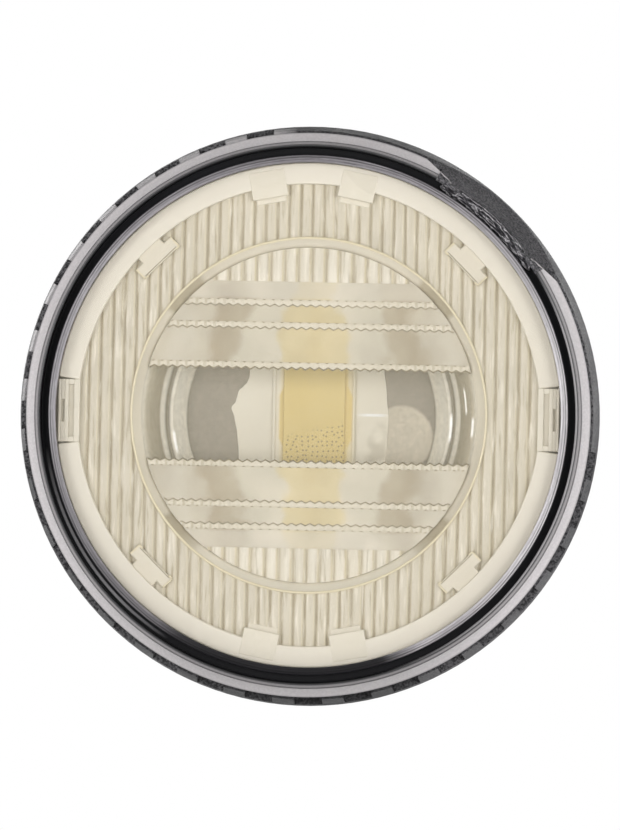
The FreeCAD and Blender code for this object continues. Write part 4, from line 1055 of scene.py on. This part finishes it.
def board_edge(z, knots):
    """How far the pale board reaches to one side at a height; its edges wander a little."""
    height = z / MM
    for (z0, x0), (z1, x1) in zip(knots, knots[1:]):
        if height <= z1:
            t = max(0.0, (height - z0) / (z1 - z0))
            return (x0 + (x1 - x0) * (3 * t * t - 2 * t * t * t)) * MM
    return knots[-1][1] * MM


def make_light_board():
    """The pale board, the yellow strip on it and the low dam round the strip."""
    heights = spans(-21.5 * MM, 21.5 * MM, 120)
    outline = [(board_edge(clamp(z, 9.5 * MM), BOARD_RIGHT), z) for z in heights]
    outline += [(board_edge(clamp(z, 9.5 * MM), BOARD_LEFT), z) for z in reversed(heights)]
    front = front_of("led_board")
    joined("light_board", [prism_data(outline, front - 0.1 * MM, back_of("led_board"))], "led_board",
           "led_board", "led_board")
    (x0, top, z0), (x1, bottom, z1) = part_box("led_phosphor")
    frames = [box_outline(x, x + 0.5 * MM, z0, z1) for x in (x0 - 1.9 * MM, x1 + 1.3 * MM)]
    frames += [box_outline(x0 - 1.9 * MM, x1 + 1.8 * MM, z, z + 0.4 * MM) for z in (z0 - 0.4 * MM, z1)]
    joined("phosphor_dam", [prism_data(side, top + 0.2 * MM, front + 0.2 * MM) for side in frames],
           "led_board", "led_board", bevel=0.15 * MM, steps=3)
    joined("phosphor_strip", [prism_data(box_outline(x0, x1, z0, z1), top, bottom)], "led_phosphor",
           "led_phosphor", "led_phosphor", bevel=0.15 * MM, steps=3)


# ---- stage --------------------------------------------------------------------------------------

def make_stage():
    """A wide round floor a little below the lamp, rolled down at its edge."""
    centre = 0.00002
    section = [(centre, 0.0), (7.0, 0.0), (7.3, 0.06), (7.4, 0.3), (7.38, 0.3), (7.28, 0.08),
               (6.98, 0.02), (centre, 0.02)]
    floor = turned("studio_floor", section, ["stage"], steps=96)
    floor.rotation_euler = (radians(-90), 0, 0)
    floor.location = (0, 0, -0.2)


def add_softbox(name, turn, width, height, power):
    """A soft rectangle of light that stands round the lamp and faces it."""
    distance, low, high = 1.5, 0.04, 0.25
    light = bpy.data.lights.new(name, "AREA")
    light.shape = "RECTANGLE"
    light.size, light.size_y = width, height
    light.energy = power
    box = bpy.data.objects.new(name, light)
    box.location = (distance * sin(radians(turn)), -distance * cos(radians(turn)),
                    low if abs(turn) < 90 else high)
    box.visible_camera = False
    box.rotation_euler = (-box.location).to_track_quat("-Z", "Y").to_euler()
    bpy.context.collection.objects.link(box)


def make_light():
    """An even white room, dimmer above and below, with soft boxes before, beside and behind."""
    world = bpy.data.worlds.new("studio")
    world.use_nodes = True
    tree = world.node_tree
    around = add_node(tree, "ShaderNodeTexCoord").outputs["Generated"]
    height = add_node(tree, "ShaderNodeSeparateXYZ", {"Vector": around}).outputs["Z"]
    level = ramp(tree, height, [(-1.0, *grey(0.25)), (-0.35, *grey(0.36)), (0.0, *grey(0.6)),
        (0.35, *grey(0.42)), (1.0, *grey(0.3))])
    seen = add_node(tree, "ShaderNodeLightPath").outputs["Is Camera Ray"]
    tree.links.new(blend(tree, seen, level, WHITE), tree.nodes["Background"].inputs["Color"])
    bpy.context.scene.world = world
    for box in (("front_box_left", -24, 0.42, 0.5, 7.4), ("front_box_right", 24, 0.42, 0.5, 7.4),
                ("side_strip_left", -62, 0.2, 0.9, 2.2), ("side_strip_right", 64, 0.2, 0.9, 3.0),
                ("back_box_left", -160, 0.5, 0.5, 4.0), ("back_box_right", 172, 0.5, 0.5, 3.5)):
        add_softbox(*box)


def make_camera():
    """A long lens a little right of and below the beam axis, with the rim filling most of the width."""
    azimuth, elevation, roll = radians(1.5), radians(-1.0), radians(1.2)
    distance, room, sensor = 2.4, 1.070442, 36.0
    centre = Vector((0.0, -RIM_BACK_DEPTH, 0.0))
    back = Vector((sin(azimuth) * cos(elevation), -cos(azimuth) * cos(elevation), sin(elevation)))
    camera = bpy.data.cameras.new("camera")
    camera.sensor_fit = "HORIZONTAL"
    camera.sensor_width = sensor
    camera.lens = sensor * distance / (2 * RIM_RADIUS * room)
    camera.clip_end = 20.0
    camera.shift_x, camera.shift_y = -0.000322581, 0.002096774
    holder = bpy.data.objects.new("camera", camera)
    holder.location = centre + back * distance
    turn = (-back).to_track_quat("-Z", "Y").to_matrix() @ Matrix.Rotation(roll, 3, "Z")
    holder.rotation_euler = turn.to_euler()
    bpy.context.collection.objects.link(holder)
    bpy.context.scene.camera = holder


def set_scene():
    scene = bpy.context.scene
    scene.view_settings.view_transform = "Standard"
    scene.view_settings.look = "None"


finish_cad_nodes()
make_outer_lens()
make_bezel()
make_lens_gate()
make_carrier()
make_flute_ring()
make_bead_and_wall()
make_window_bands()
make_ridges()
make_window_flutes()
make_lugs_and_clips()
make_cup()
make_light_board()
make_stage()
make_light()
make_camera()
set_scene()
